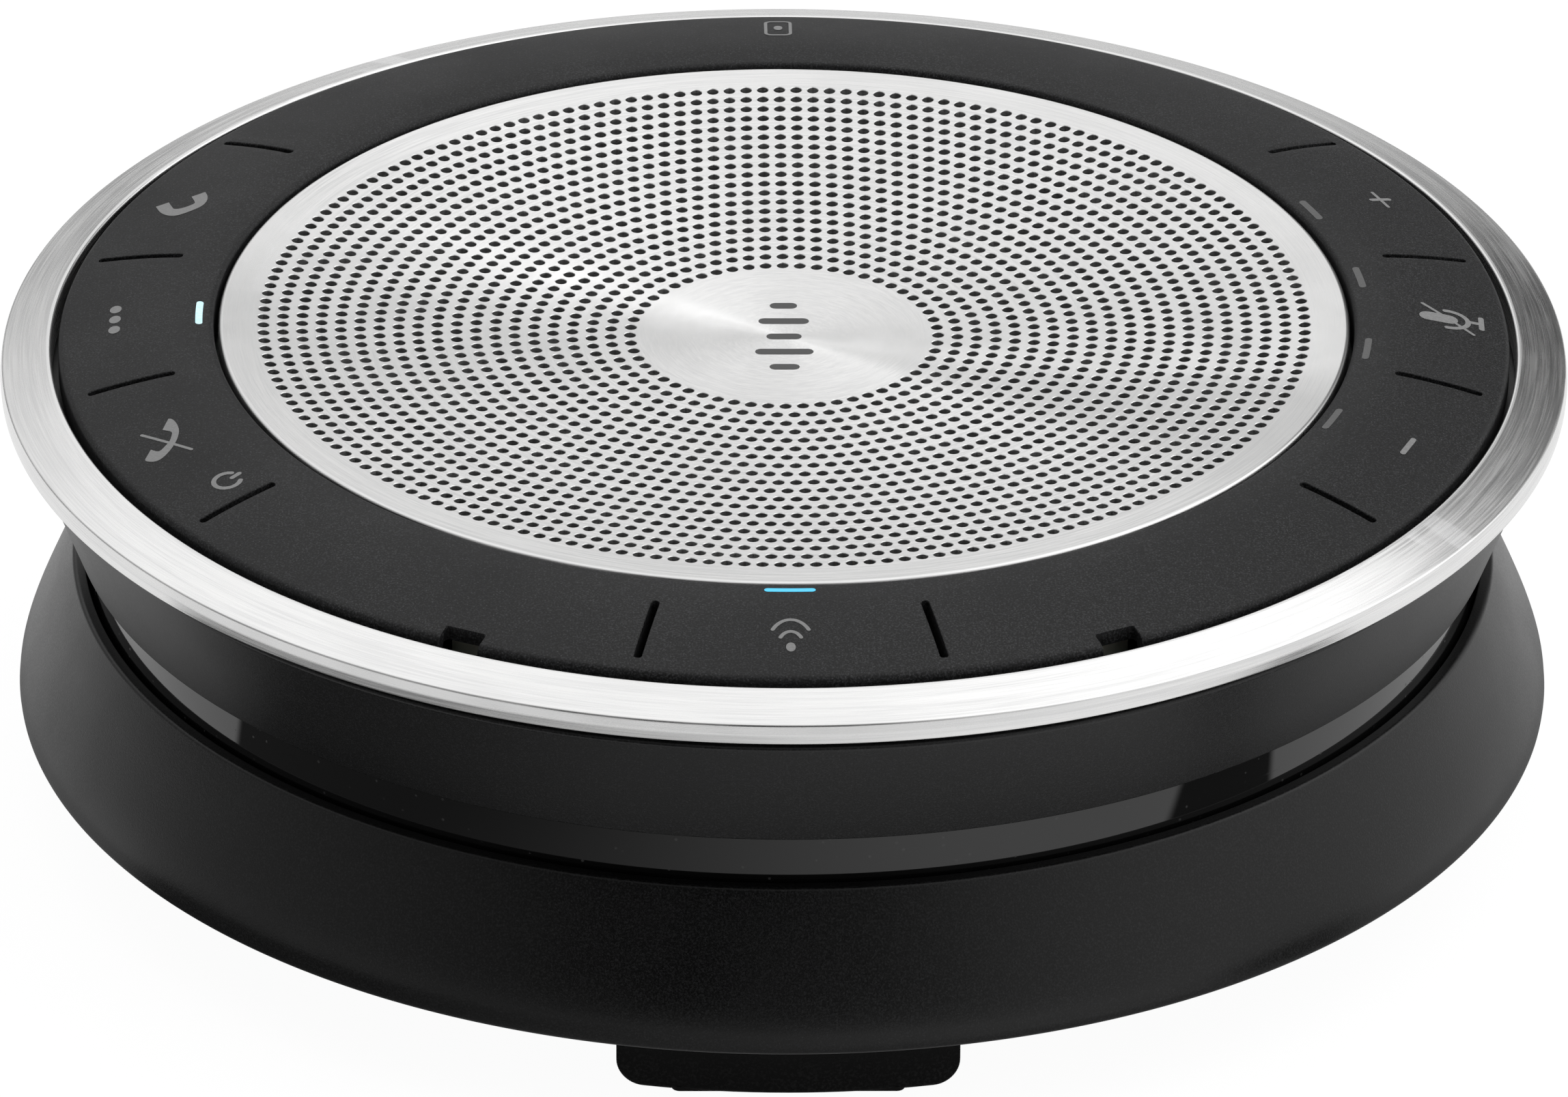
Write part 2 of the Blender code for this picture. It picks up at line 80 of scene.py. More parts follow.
# Perforated grille: rings of holes, ring k holding HOLES_A_RING * k of them at radius RING_PITCH * k.
SHEET = 0.5
RING_PITCH = 1.5
HOLES_A_RING = 7
FIRST_RING = 8
LAST_RING = 27
MIDDLE_RING = 19
HOLE_R = 0.455
HOLE_CHAMFER = 0.045
HOLE_SIDES = 12
BORDER_R = 41.2
GRILLE_ROLL = 0.3
GRILLE_EDGE_LOW = 37.2

# Key ring: its slots, the notches over the microphones and the radius where its bending part starts.
RING_INNER_R = 44.35
RING_ROLL = 0.45
RING_UNDER = 36.7
KEY_UNDER = 37.0
FLEX_R = 46.9
CROWN_R = 46.8
CROWN_FALL = 0.0542
SLOT_INNER_R = 48.1
SLOT_OUTER_R = 54.95
SLOT_HALF = 0.3
LIP = 0.12
NOTCH_INNER_R = 55.0
NOTCH_HALF = 1.62
NOTCH_CORNER = 0.25
KEY_HALF_ANGLE = 12
KEYS = {"answer_call": 156, "menu": 180, "end_call": 204, "volume_up": 24, "mute": 0, "volume_down": -24,
        "pairing": -90}
SLOT, NOTCH = "slot", "notch"
STILL_SECTORS = ((36, SLOT, 144, SLOT), (-144, SLOT, -116, NOTCH), (-116, NOTCH, -102, SLOT),
                 (-78, SLOT, -64, NOTCH), (-64, NOTCH, -36, SLOT))
LAMP_R = 45.5
LAMPS = {"menu": 180.0, "pairing": -90.0, "level_1": -23.1, "level_2": -7.7, "level_3": 7.7,
         "level_4": 23.1}

# Camera: distance and height angle over the grille's middle, its turn round the object, its tilt about its
# own axis, and how far below the grille's middle it aims, measured across its view.
CAMERA_DISTANCE = 995.06
CAMERA_ELEVATION = 28.135
CAMERA_TURN = -0.7
CAMERA_TILT = -0.323
CAMERA_AIM_DROP = 16.52
CAMERA_LENS = 293.35
SENSOR_WIDTH = 36.0


# --- meshes

def weld(points, faces):
    """Points that coincide become one, and faces that lose all their area go."""
    points = np.asarray(points, float)
    _, first, index = np.unique(np.round(points, 4), axis=0, return_index=True, return_inverse=True)
    index = index.reshape(-1)
    kept = []
    for face in faces:
        ring = []
        for corner in index[list(face)].tolist():
            if corner not in ring:
                ring.append(corner)
        if len(ring) > 2:
            kept.append(tuple(ring))
    return points[first], kept


def new_object(name, data):
    obj = bpy.data.objects.new(name, data)
    bpy.context.scene.collection.objects.link(obj)
    return obj


def new_piece(name, points, faces, look, slot=None):
    """A smooth-shaded object from points in millimetres, creased where its faces meet sharply."""
    points, faces = weld(points, faces)
    mesh = bpy.data.meshes.new(name)
    mesh.from_pydata((points * MM).tolist(), [], faces)
    mesh.shade_smooth()
    mesh.set_sharp_from_angle(angle=radians(SHARP))
    mesh.materials.append(looks[look])
    obj = new_object(name, mesh)
    return obj


def mount(piece, body, node):
    """The piece rides on this body and stands in for this CAD node."""
    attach(piece, body)
    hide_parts(node)
    return piece


def grid_faces(rows, columns, closed_rows=False, closed_columns=False):
    """Faces of a grid whose rows run outward and whose columns run anticlockwise, facing up."""
    faces = []
    for i in range(rows if closed_rows else rows - 1):
        for j in range(columns if closed_columns else columns - 1):
            below = (i + 1) % rows
            beside = (j + 1) % columns
            faces.append((i * columns + j, below * columns + j, below * columns + beside,
                          i * columns + beside))
    return faces


def thickened(points, faces, bottom):
    """Closes an upward-facing sheet with walls and an underside at the heights that bottom(points) gives."""
    points, faces = weld(points, faces)
    count = len(points)
    under = points.copy()
    under[:, 2] = bottom(points)
    sides = set()
    for face in faces:
        sides.update(zip(face, face[1:] + face[:1]))
    walls = [(b, a, a + count, b + count) for a, b in sides if (b, a) not in sides]
    underside = [tuple(corner + count for corner in reversed(face)) for face in faces]
    return np.vstack([points, under]), faces + underside + sorted(walls)


def rounded(corners, closed=True, step=15.0, support=0.05):
    """An outline through (radius, height, rounding) corners. Each rounding is an arc with a close point
    before and after it, so that smooth shading stays on the arc."""
    outline = []
    count = len(corners)
    for i, (r, z, rounding) in enumerate(corners):
        at_end = not closed and i in (0, count - 1)
        if rounding == 0.0 or at_end:
            outline.append((r, z))
            continue
        corner = Vector((r, z))
        before = (Vector(corners[i - 1][:2]) - corner).normalized()
        after = (Vector(corners[(i + 1) % count][:2]) - corner).normalized()
        half = before.angle(after) / 2
        reach = rounding / tan(half)
        centre = corner + (before + after).normalized() * rounding / sin(half)
        start = corner + before * reach - centre
        turn = start.angle_signed(corner + after * reach - centre)
        steps = max(2, round(abs(degrees(turn)) / step))
        outline.append(tuple(corner + before * (reach + support)))
        for k in range(steps + 1):
            outline.append(tuple(centre + Matrix.Rotation(-turn * k / steps, 2) @ start))
        outline.append(tuple(corner + after * (reach + support)))
    return outline


def smooth_line(points, steps=4):
    """A Catmull-Rom curve through the points, from the first to the last."""
    ends = [2 * Vector(points[0]) - Vector(points[1]), 2 * Vector(points[-1]) - Vector(points[-2])]
    line = [ends[0], *(Vector(p) for p in points), ends[1]]
    made = []
    for a, b, c, d in zip(line, line[1:], line[2:], line[3:]):
        for k in range(steps):
            t = k / steps
            made.append(tuple(0.5 * (2 * b + (c - a) * t + (2 * a - 5 * b + 4 * c - d) * t * t
                                     + (3 * b - a - 3 * c + d) * t ** 3)))
    return made + [tuple(points[-1])]


def turned_mesh(outline, closed, steps=CIRCLE_STEPS):
    """Points and faces of an outline turned about Z. It runs down its outer side; a closed one joins up."""
    angles = 2 * pi * np.arange(steps) / steps
    x, y = np.cos(angles), np.sin(angles)
    rings = [np.column_stack([r * x, r * y, np.full(steps, z)]) for r, z in outline]
    return np.vstack(rings), grid_faces(len(outline), steps, closed, True)


def lathe(name, outline, look, node, steps=CIRCLE_STEPS):
    """A turned piece of the housing. Its outline closes on itself unless it starts and ends on the axis."""
    return mount(new_piece(name, *turned_mesh(outline, outline[0][0] > 0.0, steps), look), "housing", node)


def filled(outlines):
    """Triangles that fill flat outlines, which may overlap."""
    points = [Vector(p) for outline in outlines for p in outline]
    loops = []
    start = 0
    for outline in outlines:
        turn = sum(a[0] * b[1] - b[0] * a[1] for a, b in zip(outline, outline[1:] + outline[:1]))
        loop = range(start, start + len(outline))
        loops.append(list(loop if turn > 0.0 else reversed(loop)))
        start += len(outline)
    made = delaunay_2d_cdt(points, [], loops, 0, 1e-5)
    inside = [tuple(face) for face, source in zip(made[2], made[5]) if source]
    return np.array([tuple(p) for p in made[0]]), inside


def dense(points, spacing=0.5):
    """The same line with points no further apart than the spacing."""
    made = []
    for a, b in zip(points, points[1:]):
        a, b = Vector(a), Vector(b)
        parts = max(1, round((b - a).length / spacing))
        made += [tuple(a.lerp(b, k / parts)) for k in range(parts)]
    return made + [tuple(points[-1])]


def stroke(points, width):
    """The outline of a pen stroke with round ends along a line of points."""
    line = [Vector(p) for p in dense(points)]
    sides = []
    for a, b, c in zip([line[0]] + line, line, line[1:] + [line[-1]]):
        along = (c - a).normalized()
        sides.append(Vector((-along.y, along.x)) * width / 2)
    left = [tuple(p + side) for p, side in zip(line, sides)]
    right = [tuple(p - side) for p, side in zip(line, sides)]
    turns = [k * pi / 8 for k in range(1, 8)]
    far_cap = [tuple(line[-1] - Matrix.Rotation(t, 2) @ sides[-1]) for t in turns]
    near_cap = [tuple(line[0] + Matrix.Rotation(t, 2) @ sides[0]) for t in turns]
    return right + far_cap + left[::-1] + near_cap


def arc(x, y, rx, ry, start, end, steps=16):
    angles = [radians(start + (end - start) * k / steps) for k in range(steps + 1)]
    return [(x + rx * cos(a), y + ry * sin(a)) for a in angles]


def disc(x, y, rx, ry, steps=24):
    return arc(x, y, rx, ry, 0.0, 360.0, steps)[:-1]


def rounded_rectangle(width, depth, radius, x=0.0, y=0.0):
    points = []
    for quarter, (sx, sy) in enumerate(((1, 1), (-1, 1), (-1, -1), (1, -1))):
        corner = (x + sx * (width / 2 - radius), y + sy * (depth / 2 - radius))
        points += arc(*corner, radius, radius, quarter * 90.0, quarter * 90.0 + 90.0, 5)
    return points


def polar(r, angle):
    return r * cos(radians(angle)), r * sin(radians(angle))


# --- materials

def add(tree, kind, inputs=None, **settings):
    """A node of that kind, with each input given as a value or as the socket it is fed from."""
    node = tree.nodes.new("ShaderNode" + kind)
    for key, value in settings.items():
        setattr(node, key, value)
    for key, value in (inputs or {}).items():
        if isinstance(value, bpy.types.NodeSocket):
            tree.links.new(value, node.inputs[key])
        else:
            node.inputs[key].default_value = value
    return node


def new_material(name, **values):
    """A material with these shader values set, its node tree, and the object's coordinates in it."""
    material = bpy.data.materials.new(name)
    material.use_nodes = True
    tree = material.node_tree
    for key, value in values.items():
        tree.nodes["Principled BSDF"].inputs[key.replace("_", " ")].default_value = value
    return material, tree, add(tree, "TexCoord").outputs["Object"]


def finish(material, height, depth_mm, **sources):
    """Feeds the shader a bump of that depth and the other sources, and returns the material."""
    tree = material.node_tree
    sources["Normal"] = add(tree, "Bump", {"Height": height, "Distance": depth_mm * MM,
                                           "Strength": 1.0}).outputs["Normal"]
    for key, source in sources.items():
        tree.links.new(source, tree.nodes["Principled BSDF"].inputs[key.replace("_", " ")])
    return material


def noise(tree, place, size_mm, detail=2.0, roughness=0.5):
    """Cloudy noise whose features are about size_mm across."""
    node = add(tree, "TexNoise", {"Vector": place, "Scale": 1.0 / (size_mm * MM), "Detail": detail,
                                  "Roughness": roughness})
    return node.outputs["Fac"]


def waves(tree, place, scale, axis, distortion):
    """Parallel bands across one axis."""
    return add(tree, "TexWave", {"Vector": place, "Scale": scale, "Distortion": distortion},
               bands_direction=axis).outputs["Fac"]


def ramp(tree, value, low, high, to_low=0.0, to_high=1.0):
    node = add(tree, "MapRange", {"Value": value, "From Min": low, "From Max": high, "To Min": to_low,
                                  "To Max": to_high}, interpolation_type="SMOOTHSTEP")
    return node.outputs["Result"]


def blend(tree, factor, first, second):
    """Goes from the first colour to the second as the factor goes from 0 to 1."""
    return add(tree, "Mix", {0: factor, 6: first, 7: second}, data_type="RGBA").outputs[2]


def mottled(tree, pattern, dark, light, low=0.3, high=0.7):
    """Goes from dark to light as the pattern goes from low to high."""
    return blend(tree, ramp(tree, pattern, low, high), dark, light)


def grey(level, tint=(1.0, 1.0, 1.0)):
    return (*(level * part for part in tint), 1.0)


def math(tree, operation, first, second):
    return add(tree, "Math", {0: first, 1: second}, operation=operation).outputs[0]


def times(tree, first, second):
    return math(tree, "MULTIPLY", first, second)


def plus(tree, first, second):
    return math(tree, "ADD", first, second)


def specks(tree, place, spacing_mm, share):
    """Small round dots, one in each cell, showing in that share of the cells."""
    cells = add(tree, "TexVoronoi", {"Vector": place, "Scale": 1.0 / (spacing_mm * MM)})
    near = ramp(tree, cells.outputs["Distance"], 0.12, 0.34, 1.0, 0.0)
    chosen = add(tree, "SeparateColor", {"Color": cells.outputs["Color"]}).outputs["Red"]
    return times(tree, near, ramp(tree, chosen, 1.0 - share, 1.0 - 0.6 * share))


def edge_wear(tree):
    """1 on the piece's convex edges, where handling rubs it."""
    return ramp(tree, add(tree, "NewGeometry").outputs["Pointiness"], 0.53, 0.6)


def turned_noise(tree, place, along, across_mm):
    """Noise that changes slowly round the Z axis and quickly away from it, for circular brushing."""
    parts = add(tree, "SeparateXYZ", {"Vector": place})
    flat = add(tree, "CombineXYZ", {"X": parts.outputs["X"], "Y": parts.outputs["Y"]}).outputs[0]
    radius = add(tree, "VectorMath", {0: flat}, operation="LENGTH").outputs["Value"]
    heading = add(tree, "VectorMath", {0: flat}, operation="NORMALIZE").outputs[0]
    slow = add(tree, "VectorMath", {0: heading, "Scale": along}, operation="SCALE").outputs[0]
    depth = plus(tree, radius, parts.outputs["Z"])
    fast = add(tree, "CombineXYZ", {"Z": times(tree, depth, 1.0 / (across_mm * MM))}).outputs[0]
    turned = add(tree, "VectorMath", {0: slow, 1: fast}, operation="ADD").outputs[0]
    return noise(tree, turned, 1.0 / MM, 3.0, 0.6)


def brushed_metal(name, dark, light, smoothest, roughest, anisotropy, along, across_mm, depth_mm, wear):
    """Steel brushed round the Z axis: long fine scratches in its tone, roughness and surface."""
    material, tree, place = new_material(name, Metallic=1.0, Anisotropic=anisotropy,
                                         Anisotropic_Rotation=0.25)
    fine = turned_noise(tree, place, along, across_mm)
    broad = turned_noise(tree, place, along * 0.35, across_mm * 6.0)
    cloud = noise(tree, place, 6.0, 4.0)
    streaks = plus(tree, times(tree, fine, 0.6), times(tree, broad, 0.4))
    tone = mottled(tree, streaks, grey(dark), grey(light, (1.0, 0.997, 0.99)))
    rubbed = blend(tree, times(tree, edge_wear(tree), wear), tone, grey(0.9))
    handled = times(tree, ramp(tree, cloud, 0.35, 0.75), 0.03)
    rough = plus(tree, ramp(tree, streaks, 0.3, 0.7, smoothest, roughest), handled)
    around = add(tree, "Tangent", direction_type="RADIAL", axis="Z").outputs[0]
    return finish(material, fine, depth_mm, Base_Color=rubbed, Roughness=rough, Tangent=around)


def moulded(name, level, tint, smoothest, roughest, grain_mm, depth_mm, speck_level=0.0, wear=1.6,
            gloss=0.5):
    """Moulded plastic or rubber: fine grain in surface, roughness and tone, pale specks, rubbed edges."""
    material, tree, place = new_material(name, Specular_IOR_Level=gloss)
    grain = noise(tree, place, grain_mm, 3.0, 0.6)
    cloud = noise(tree, place, 9.0, 4.0)
    tone = mottled(tree, grain, grey(level * 0.3, tint), grey(level * 4.0, tint), 0.44, 0.68)
    hazy = blend(tree, ramp(tree, cloud, 0.35, 0.7, 0.0, 0.35), tone, grey(level * 1.35, tint))
    rubbed = blend(tree, edge_wear(tree), hazy, grey(level * wear, tint))
    if speck_level:
        rubbed = blend(tree, specks(tree, place, grain_mm * 1.6, 0.45), rubbed, grey(speck_level, tint))
    rough = ramp(tree, plus(tree, grain, times(tree, cloud, 0.5)), 0.45, 1.05, smoothest,
                 roughest)
    return finish(material, grain, depth_mm, Base_Color=rubbed, Roughness=rough)


def gloss_plastic(name):
    """Polished black plastic with faint flow waves, hairline scratches and dust."""
    material, tree, place = new_material(name, Specular_IOR_Level=0.6)
    hairs = turned_noise(tree, place, 5.0, 0.12)
    dust = specks(tree, place, 0.5, 0.08)
    tone = blend(tree, dust, grey(0.004), grey(0.03))
    rough = plus(tree, ramp(tree, hairs, 0.55, 0.8, 0.03, 0.12), times(tree, dust, 0.3))
    return finish(material, noise(tree, place, 5.0, 1.0), 0.002, Base_Color=tone, Roughness=rough)


def worked_metal(name, colour, smoothest, roughest, size_mm, depth_mm=0.01):
    """Plated or pressed metal with a mottled finish and fine pits."""
    material, tree, place = new_material(name, Metallic=1.0)
    mottle = noise(tree, place, size_mm, 5.0, 0.65)
    tone = mottled(tree, mottle, grey(0.72, colour), grey(1.0, colour))
    rubbed = blend(tree, edge_wear(tree), tone, grey(1.15, colour))
    rough = ramp(tree, mottle, 0.3, 0.7, smoothest, roughest)
    pits = noise(tree, place, size_mm * 0.08)
    return finish(material, pits, depth_mm, Base_Color=rubbed, Roughness=rough)


def wound_copper(name):
    """A coil of fine enamelled wire: one groove for each turn up its height."""
    material, tree, place = new_material(name, Metallic=1.0, Coat_Weight=0.5, Coat_Roughness=0.15)
    turns = waves(tree, place, 1.0 / (0.3 * MM) / 20.0, "Z", 0.6)
    tone = blend(tree, turns, (0.28, 0.09, 0.03, 1.0), (0.78, 0.36, 0.16, 1.0))
    rough = ramp(tree, noise(tree, place, 1.0), 0.3, 0.7, 0.25, 0.4)
    return finish(material, turns, 0.08, Base_Color=tone, Roughness=rough)


def woven(name, level, thread_mm, depth_mm):
    """Fine cloth: two crossed sets of threads over a darker ground."""
    material, tree, place = new_material(name, Specular_IOR_Level=0.25, Sheen_Weight=0.12)
    warp, weft = (waves(tree, place, 1.0 / (thread_mm * MM) / 20.0 * 2.0 * pi, axis, 0.3) for axis in "XY")
    threads = math(tree, "MAXIMUM", warp, weft)
    tone = blend(tree, threads, grey(level * 0.3), grey(level * 1.3))
    rough = ramp(tree, noise(tree, place, 2.0), 0.3, 0.7, 0.85, 1.0)
    return finish(material, threads, depth_mm, Base_Color=tone, Roughness=rough)


def foam(name):
    """Open-cell foam with small dark pores."""
    material, tree, place = new_material(name, Specular_IOR_Level=0.2)
    pores = add(tree, "TexVoronoi", {"Vector": place, "Scale": 1.0 / (0.35 * MM)}).outputs["Distance"]
    tone = mottled(tree, pores, grey(0.006), grey(0.04), 0.1, 0.6)
    return finish(material, pores, 0.1, Base_Color=tone, Roughness=ramp(tree, pores, 0.1, 0.6, 1.0, 0.85))


def circuit_board(name):
    """Dark solder mask over raised tracks, with small bare pads. Its green is darkened to near black as
    painted shade of the deep notch the board is seen through.
    """
    material, tree, place = new_material(name)
    tracks = add(tree, "TexBrick", {"Vector": place, "Scale": 1.0 / (4.0 * MM), "Mortar Size": 0.04,
                                    "Brick Width": 0.9, "Row Height": 0.3}).outputs["Fac"]
    pads = specks(tree, place, 1.1, 0.12)
    # Painted shade: the mask's green is darkened to near black for the deep notch the board shows through.
    tone = blend(tree, tracks, (0.008, 0.014, 0.011, 1.0), (0.016, 0.034, 0.024, 1.0))
    with_pads = blend(tree, pads, tone, (0.5, 0.4, 0.2, 1.0))
    rough = ramp(tree, noise(tree, place, 3.0), 0.3, 0.7, 0.3, 0.5)
    return finish(material, tracks, 0.03, Base_Color=with_pads, Roughness=rough, Metallic=pads)


def clouded(name, size_mm, detail, dark, light, smoothest, roughest, depth_mm, low=0.3, fuzz=0.5, gloss=0.5,
            **values):
    """One noise sets the tone, roughness and surface: cone paper, film, a frosted pipe that is off, ink."""
    material, tree, place = new_material(name, Specular_IOR_Level=gloss, **values)
    cloud = noise(tree, place, size_mm, detail, fuzz)
    tone = mottled(tree, cloud, dark, light, low)
    rough = ramp(tree, cloud, 0.3, 0.7, smoothest, roughest)
    return finish(material, cloud, depth_mm, Base_Color=tone, Roughness=rough)


def tinted_film(name, colour, crinkle_mm, depth_mm):
    """Thin film or shrink wrap with soft crinkles."""
    return clouded(name, crinkle_mm, 3.0, grey(0.8, colour), grey(1.15, colour), 0.22, 0.42, depth_mm,
                   Coat_Weight=0.4, Coat_Roughness=0.1)


def print_ink(name, level):
    """Screen-printed grey ink with a slightly uneven film."""
    return clouded(name, 0.18, 3.0, grey(level * 0.9), grey(level * 1.08), 0.5, 0.65, 0.004, gloss=0.35)


def lit_lamp(name, middle, edge):
    """A glowing light pipe under a faintly frosted face."""
    material, tree, place = new_material(name, Emission_Strength=1.0, Base_Color=grey(0.05))
    frost = noise(tree, place, 0.25)
    glow = mottled(tree, frost, (*edge, 1.0), (*middle, 1.0), 0.2, 0.8)
    rough = ramp(tree, frost, 0.3, 0.7, 0.3, 0.5)
    return finish(material, frost, 0.01, Emission_Color=glow, Roughness=rough)


def make_materials():
    """One material for each of the record's slots, and the two inks."""
    neutral = (1.0, 1.0, 1.0)
    cool = (0.97, 0.98, 1.03)
    makers = {
        "rim_metal": (brushed_metal, 0.66, 0.86, 0.18, 0.32, 0.8, 7.0, 0.09, 0.0018, 1.0),
        "grille_metal": (brushed_metal, 0.62, 0.8, 0.16, 0.24, 1.0, 9.0, 0.06, 0.0006, 0.0),
        "soft_touch": (moulded, 0.01, cool, 0.46, 0.62, 0.15, 0.016, 0.05, 1.3, 0.26),
        "black_plastic": (moulded, 0.004, cool, 0.3, 0.42, 0.15, 0.013, 0.02, 2.0, 0.4),
        "matte_black": (moulded, 0.003, cool, 0.3, 0.42, 0.15, 0.013, 0.016, 2.0, 0.34),
        "gloss_black": (gloss_plastic,),
        "foot_rubber": (moulded, 0.004, neutral, 0.55, 0.75, 0.25, 0.02, 0.008, 1.8, 0.14),
        "surround_rubber": (moulded, 0.012, neutral, 0.45, 0.6, 0.3, 0.01),
        "gasket_foam": (foam,),
        "acoustic_cloth": (woven, 0.008, 0.25, 0.05),
        "polyimide_film": (tinted_film, (0.45, 0.2, 0.03), 3.0, 0.02),
        "lit_white": (lit_lamp, (0.75, 0.97, 1.0), (0.5, 0.88, 1.0)),
        "lit_blue": (lit_lamp, (0.05, 0.66, 0.95), (0.03, 0.55, 0.93)),
        "unlit_pipe": (clouded, 0.25, 2.0, grey(0.075), grey(0.11), 0.35, 0.5, 0.01),
        "cone_paper": (clouded, 0.6, 6.0, grey(0.018), grey(0.05), 0.75, 0.95, 0.06, 0.35, 0.75, 0.3),
        "copper": (wound_copper,),
        "steel": (worked_metal, (0.62, 0.62, 0.6), 0.28, 0.42, 1.5),
        "basket": (moulded, 0.045, cool, 0.35, 0.5, 0.4, 0.02),
        "magnet": (worked_metal, (0.5, 0.49, 0.47), 0.25, 0.4, 4.0, 0.005),
        "tinned_steel": (worked_metal, (0.66, 0.66, 0.64), 0.24, 0.38, 2.5),
        "switch_metal": (worked_metal, (0.6, 0.57, 0.5), 0.3, 0.45, 0.8),
        "board": (circuit_board,),
        "battery_wrap": (tinted_film, (0.02, 0.09, 0.3), 6.0, 0.05),
        "ink": (print_ink, 0.26),
        "dark_ink": (print_ink, 0.09),
    }
    return {name: maker(name, *values) for name, (maker, *values) in makers.items()}


SLOT_NODES = {
    "surround_rubber": ["cone_surround"],
    "polyimide_film": ["tap_antenna", "keypad_ribbon"],
    "cone_paper": ["speaker_cone", "dust_cap"],
    "copper": ["voice_coil"],
    "acoustic_cloth": ["cone_spider"],
    "basket": ["speaker_basket"],
    "magnet": ["speaker_magnet"],
    "steel": ["magnet_top_plate", "magnet_yoke"] + [f"speaker_screw_{n}" for n in (1, 2, 3)],
    "tinned_steel": ["shield_can", "usb_socket"],
    "board": ["keypad_board", "main_board", "usb_board"],
    "battery_wrap": ["battery"],
    "switch_metal": [f"switch_{key}" for key in KEYS] + ["microphone_left", "microphone_right"],
}


def dress_carried_nodes():
    """The inner parts keep their CAD shapes and take the fine materials."""
    for slot, nodes in SLOT_NODES.items():
        for node in nodes:
            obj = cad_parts[node]
            obj.data.materials.clear()
            obj.data.materials.append(looks[slot])


# --- grille

def dish_height(r):
    """Height of the grille's face, a shallow dish."""
    middle = GRILLE_LOW + SHEET
    return middle + (GRILLE_TOP - middle) * (r / (GRILLE_R - GRILLE_ROLL)) ** 2


def grille_bottom(points):
    r = np.hypot(points[:, 0], points[:, 1])
    return np.where(r > GRILLE_R - SHEET, GRILLE_EDGE_LOW, dish_height(r) - SHEET)


def grille_face(first_ring, last_ring, inner_r, outer_r):
    """The perforated face from inner_r to outer_r: a sheet with chamfered holes."""
    centres = []
    for ring in range(first_ring, last_ring + 1):
        count = HOLES_A_RING * ring
        angles = pi / 2 + 2 * pi * np.arange(count) / count
        centres += list(zip(RING_PITCH * ring * np.cos(angles), RING_PITCH * ring * np.sin(angles)))
    centres = np.array(centres)
    sides = 2 * pi * np.arange(HOLE_SIDES) / HOLE_SIDES
    around = np.column_stack([np.cos(sides), np.sin(sides)])
    mouths = (centres[:, None, :] + around * (HOLE_R + HOLE_CHAMFER)).reshape(-1, 2)
    throats = (centres[:, None, :] + around * HOLE_R).reshape(-1, 2)

    flat = [tuple(p) for p in mouths]
    edges = []
    for start in range(0, len(flat), HOLE_SIDES):
        edges += [(start + k, start + (k + 1) % HOLE_SIDES) for k in range(HOLE_SIDES)]
    turn = range(CIRCLE_STEPS)
    for r in (inner_r, outer_r):
        if r > 0.0:
            edges += [(len(flat) + a, len(flat) + (a + 1) % CIRCLE_STEPS) for a in turn]
            flat += [polar(r, a) for a in turn]
    if inner_r == 0.0:
        for ring in range(5):
            flat += [polar(2.2 * ring, 360.0 * k / (12 * ring)) for k in range(12 * ring)]
        flat.append((0.0, 0.0))
    made = delaunay_2d_cdt([Vector(p) for p in flat], edges, [], 1, 1e-5)
    points = np.array([tuple(p) for p in made[0]])
    owner = np.full(len(points), -1)
    for index, sources in enumerate(made[3]):
        if sources and sources[0] < len(mouths):
            owner[index] = sources[0] // HOLE_SIDES
    faces = []
    for face in made[2]:
        holes = {int(owner[corner]) for corner in face}
        in_hole = len(holes) == 1 and -1 not in holes
        if not in_hole and np.hypot(*points[face].mean(axis=0)) > inner_r:
            faces.append(tuple(face))

    sheet, lips, lower = (np.column_stack([flat, dish_height(np.hypot(*flat.T)) - drop]) for flat, drop in
                          ((points, 0.0), (mouths, 0.0), (throats, HOLE_CHAMFER)))
    count = len(points)
    total = len(mouths)
    for start in range(count, count + total, HOLE_SIDES):
        for k in range(HOLE_SIDES):
            a, b = start + k, start + (k + 1) % HOLE_SIDES
            faces.append((b, a, a + total, b + total))
    return np.vstack([sheet, lips, lower]), faces


def grille_border():
    """The plain band outside the holes, rolled over at the edge."""
    edge = GRILLE_R - GRILLE_ROLL
    line = [(r, dish_height(r)) for r in (BORDER_R, 41.8, 42.4, 43.0, edge - 0.05)]
    for k in range(7):
        t = k * pi / 12
        line.append((edge + GRILLE_ROLL * sin(t), dish_height(edge) - GRILLE_ROLL * (1 - cos(t))))
    return turned_mesh(line, False)


def read(items, name, width=1, kind=np.float32):
    """One property of all these mesh items, as rows of that width."""
    values = np.empty(len(items) * width, kind)
    items.foreach_get(name, values)
    return values.reshape(-1, width)


def exact_dish_normals(obj):
    """Gives the dished face its true normals, so that the many thin triangles don't show in reflections."""
    mesh = obj.data
    normals = read(mesh.corner_normals, "vector", 3)
    vertex = read(mesh.loops, "vertex_index", 1, np.int32)[:, 0]
    x, y = (read(mesh.vertices, "co", 3) / MM)[vertex, :2].T
    sizes = read(mesh.polygons, "loop_total", 1, np.int32)[:, 0]
    face_up = np.repeat(read(mesh.polygons, "normal", 3)[:, 2] > 0.98, sizes)
    on_face = face_up & (np.hypot(x, y) < GRILLE_R - 0.5)
    slope = 2 * (GRILLE_TOP - GRILLE_LOW - SHEET) / (GRILLE_R - GRILLE_ROLL) ** 2
    exact = np.column_stack([-slope * x, -slope * y, np.ones(len(x))])
    exact /= np.linalg.norm(exact, axis=1)[:, None]
    normals[on_face] = exact[on_face]
    mesh.normals_split_custom_set(normals.tolist())


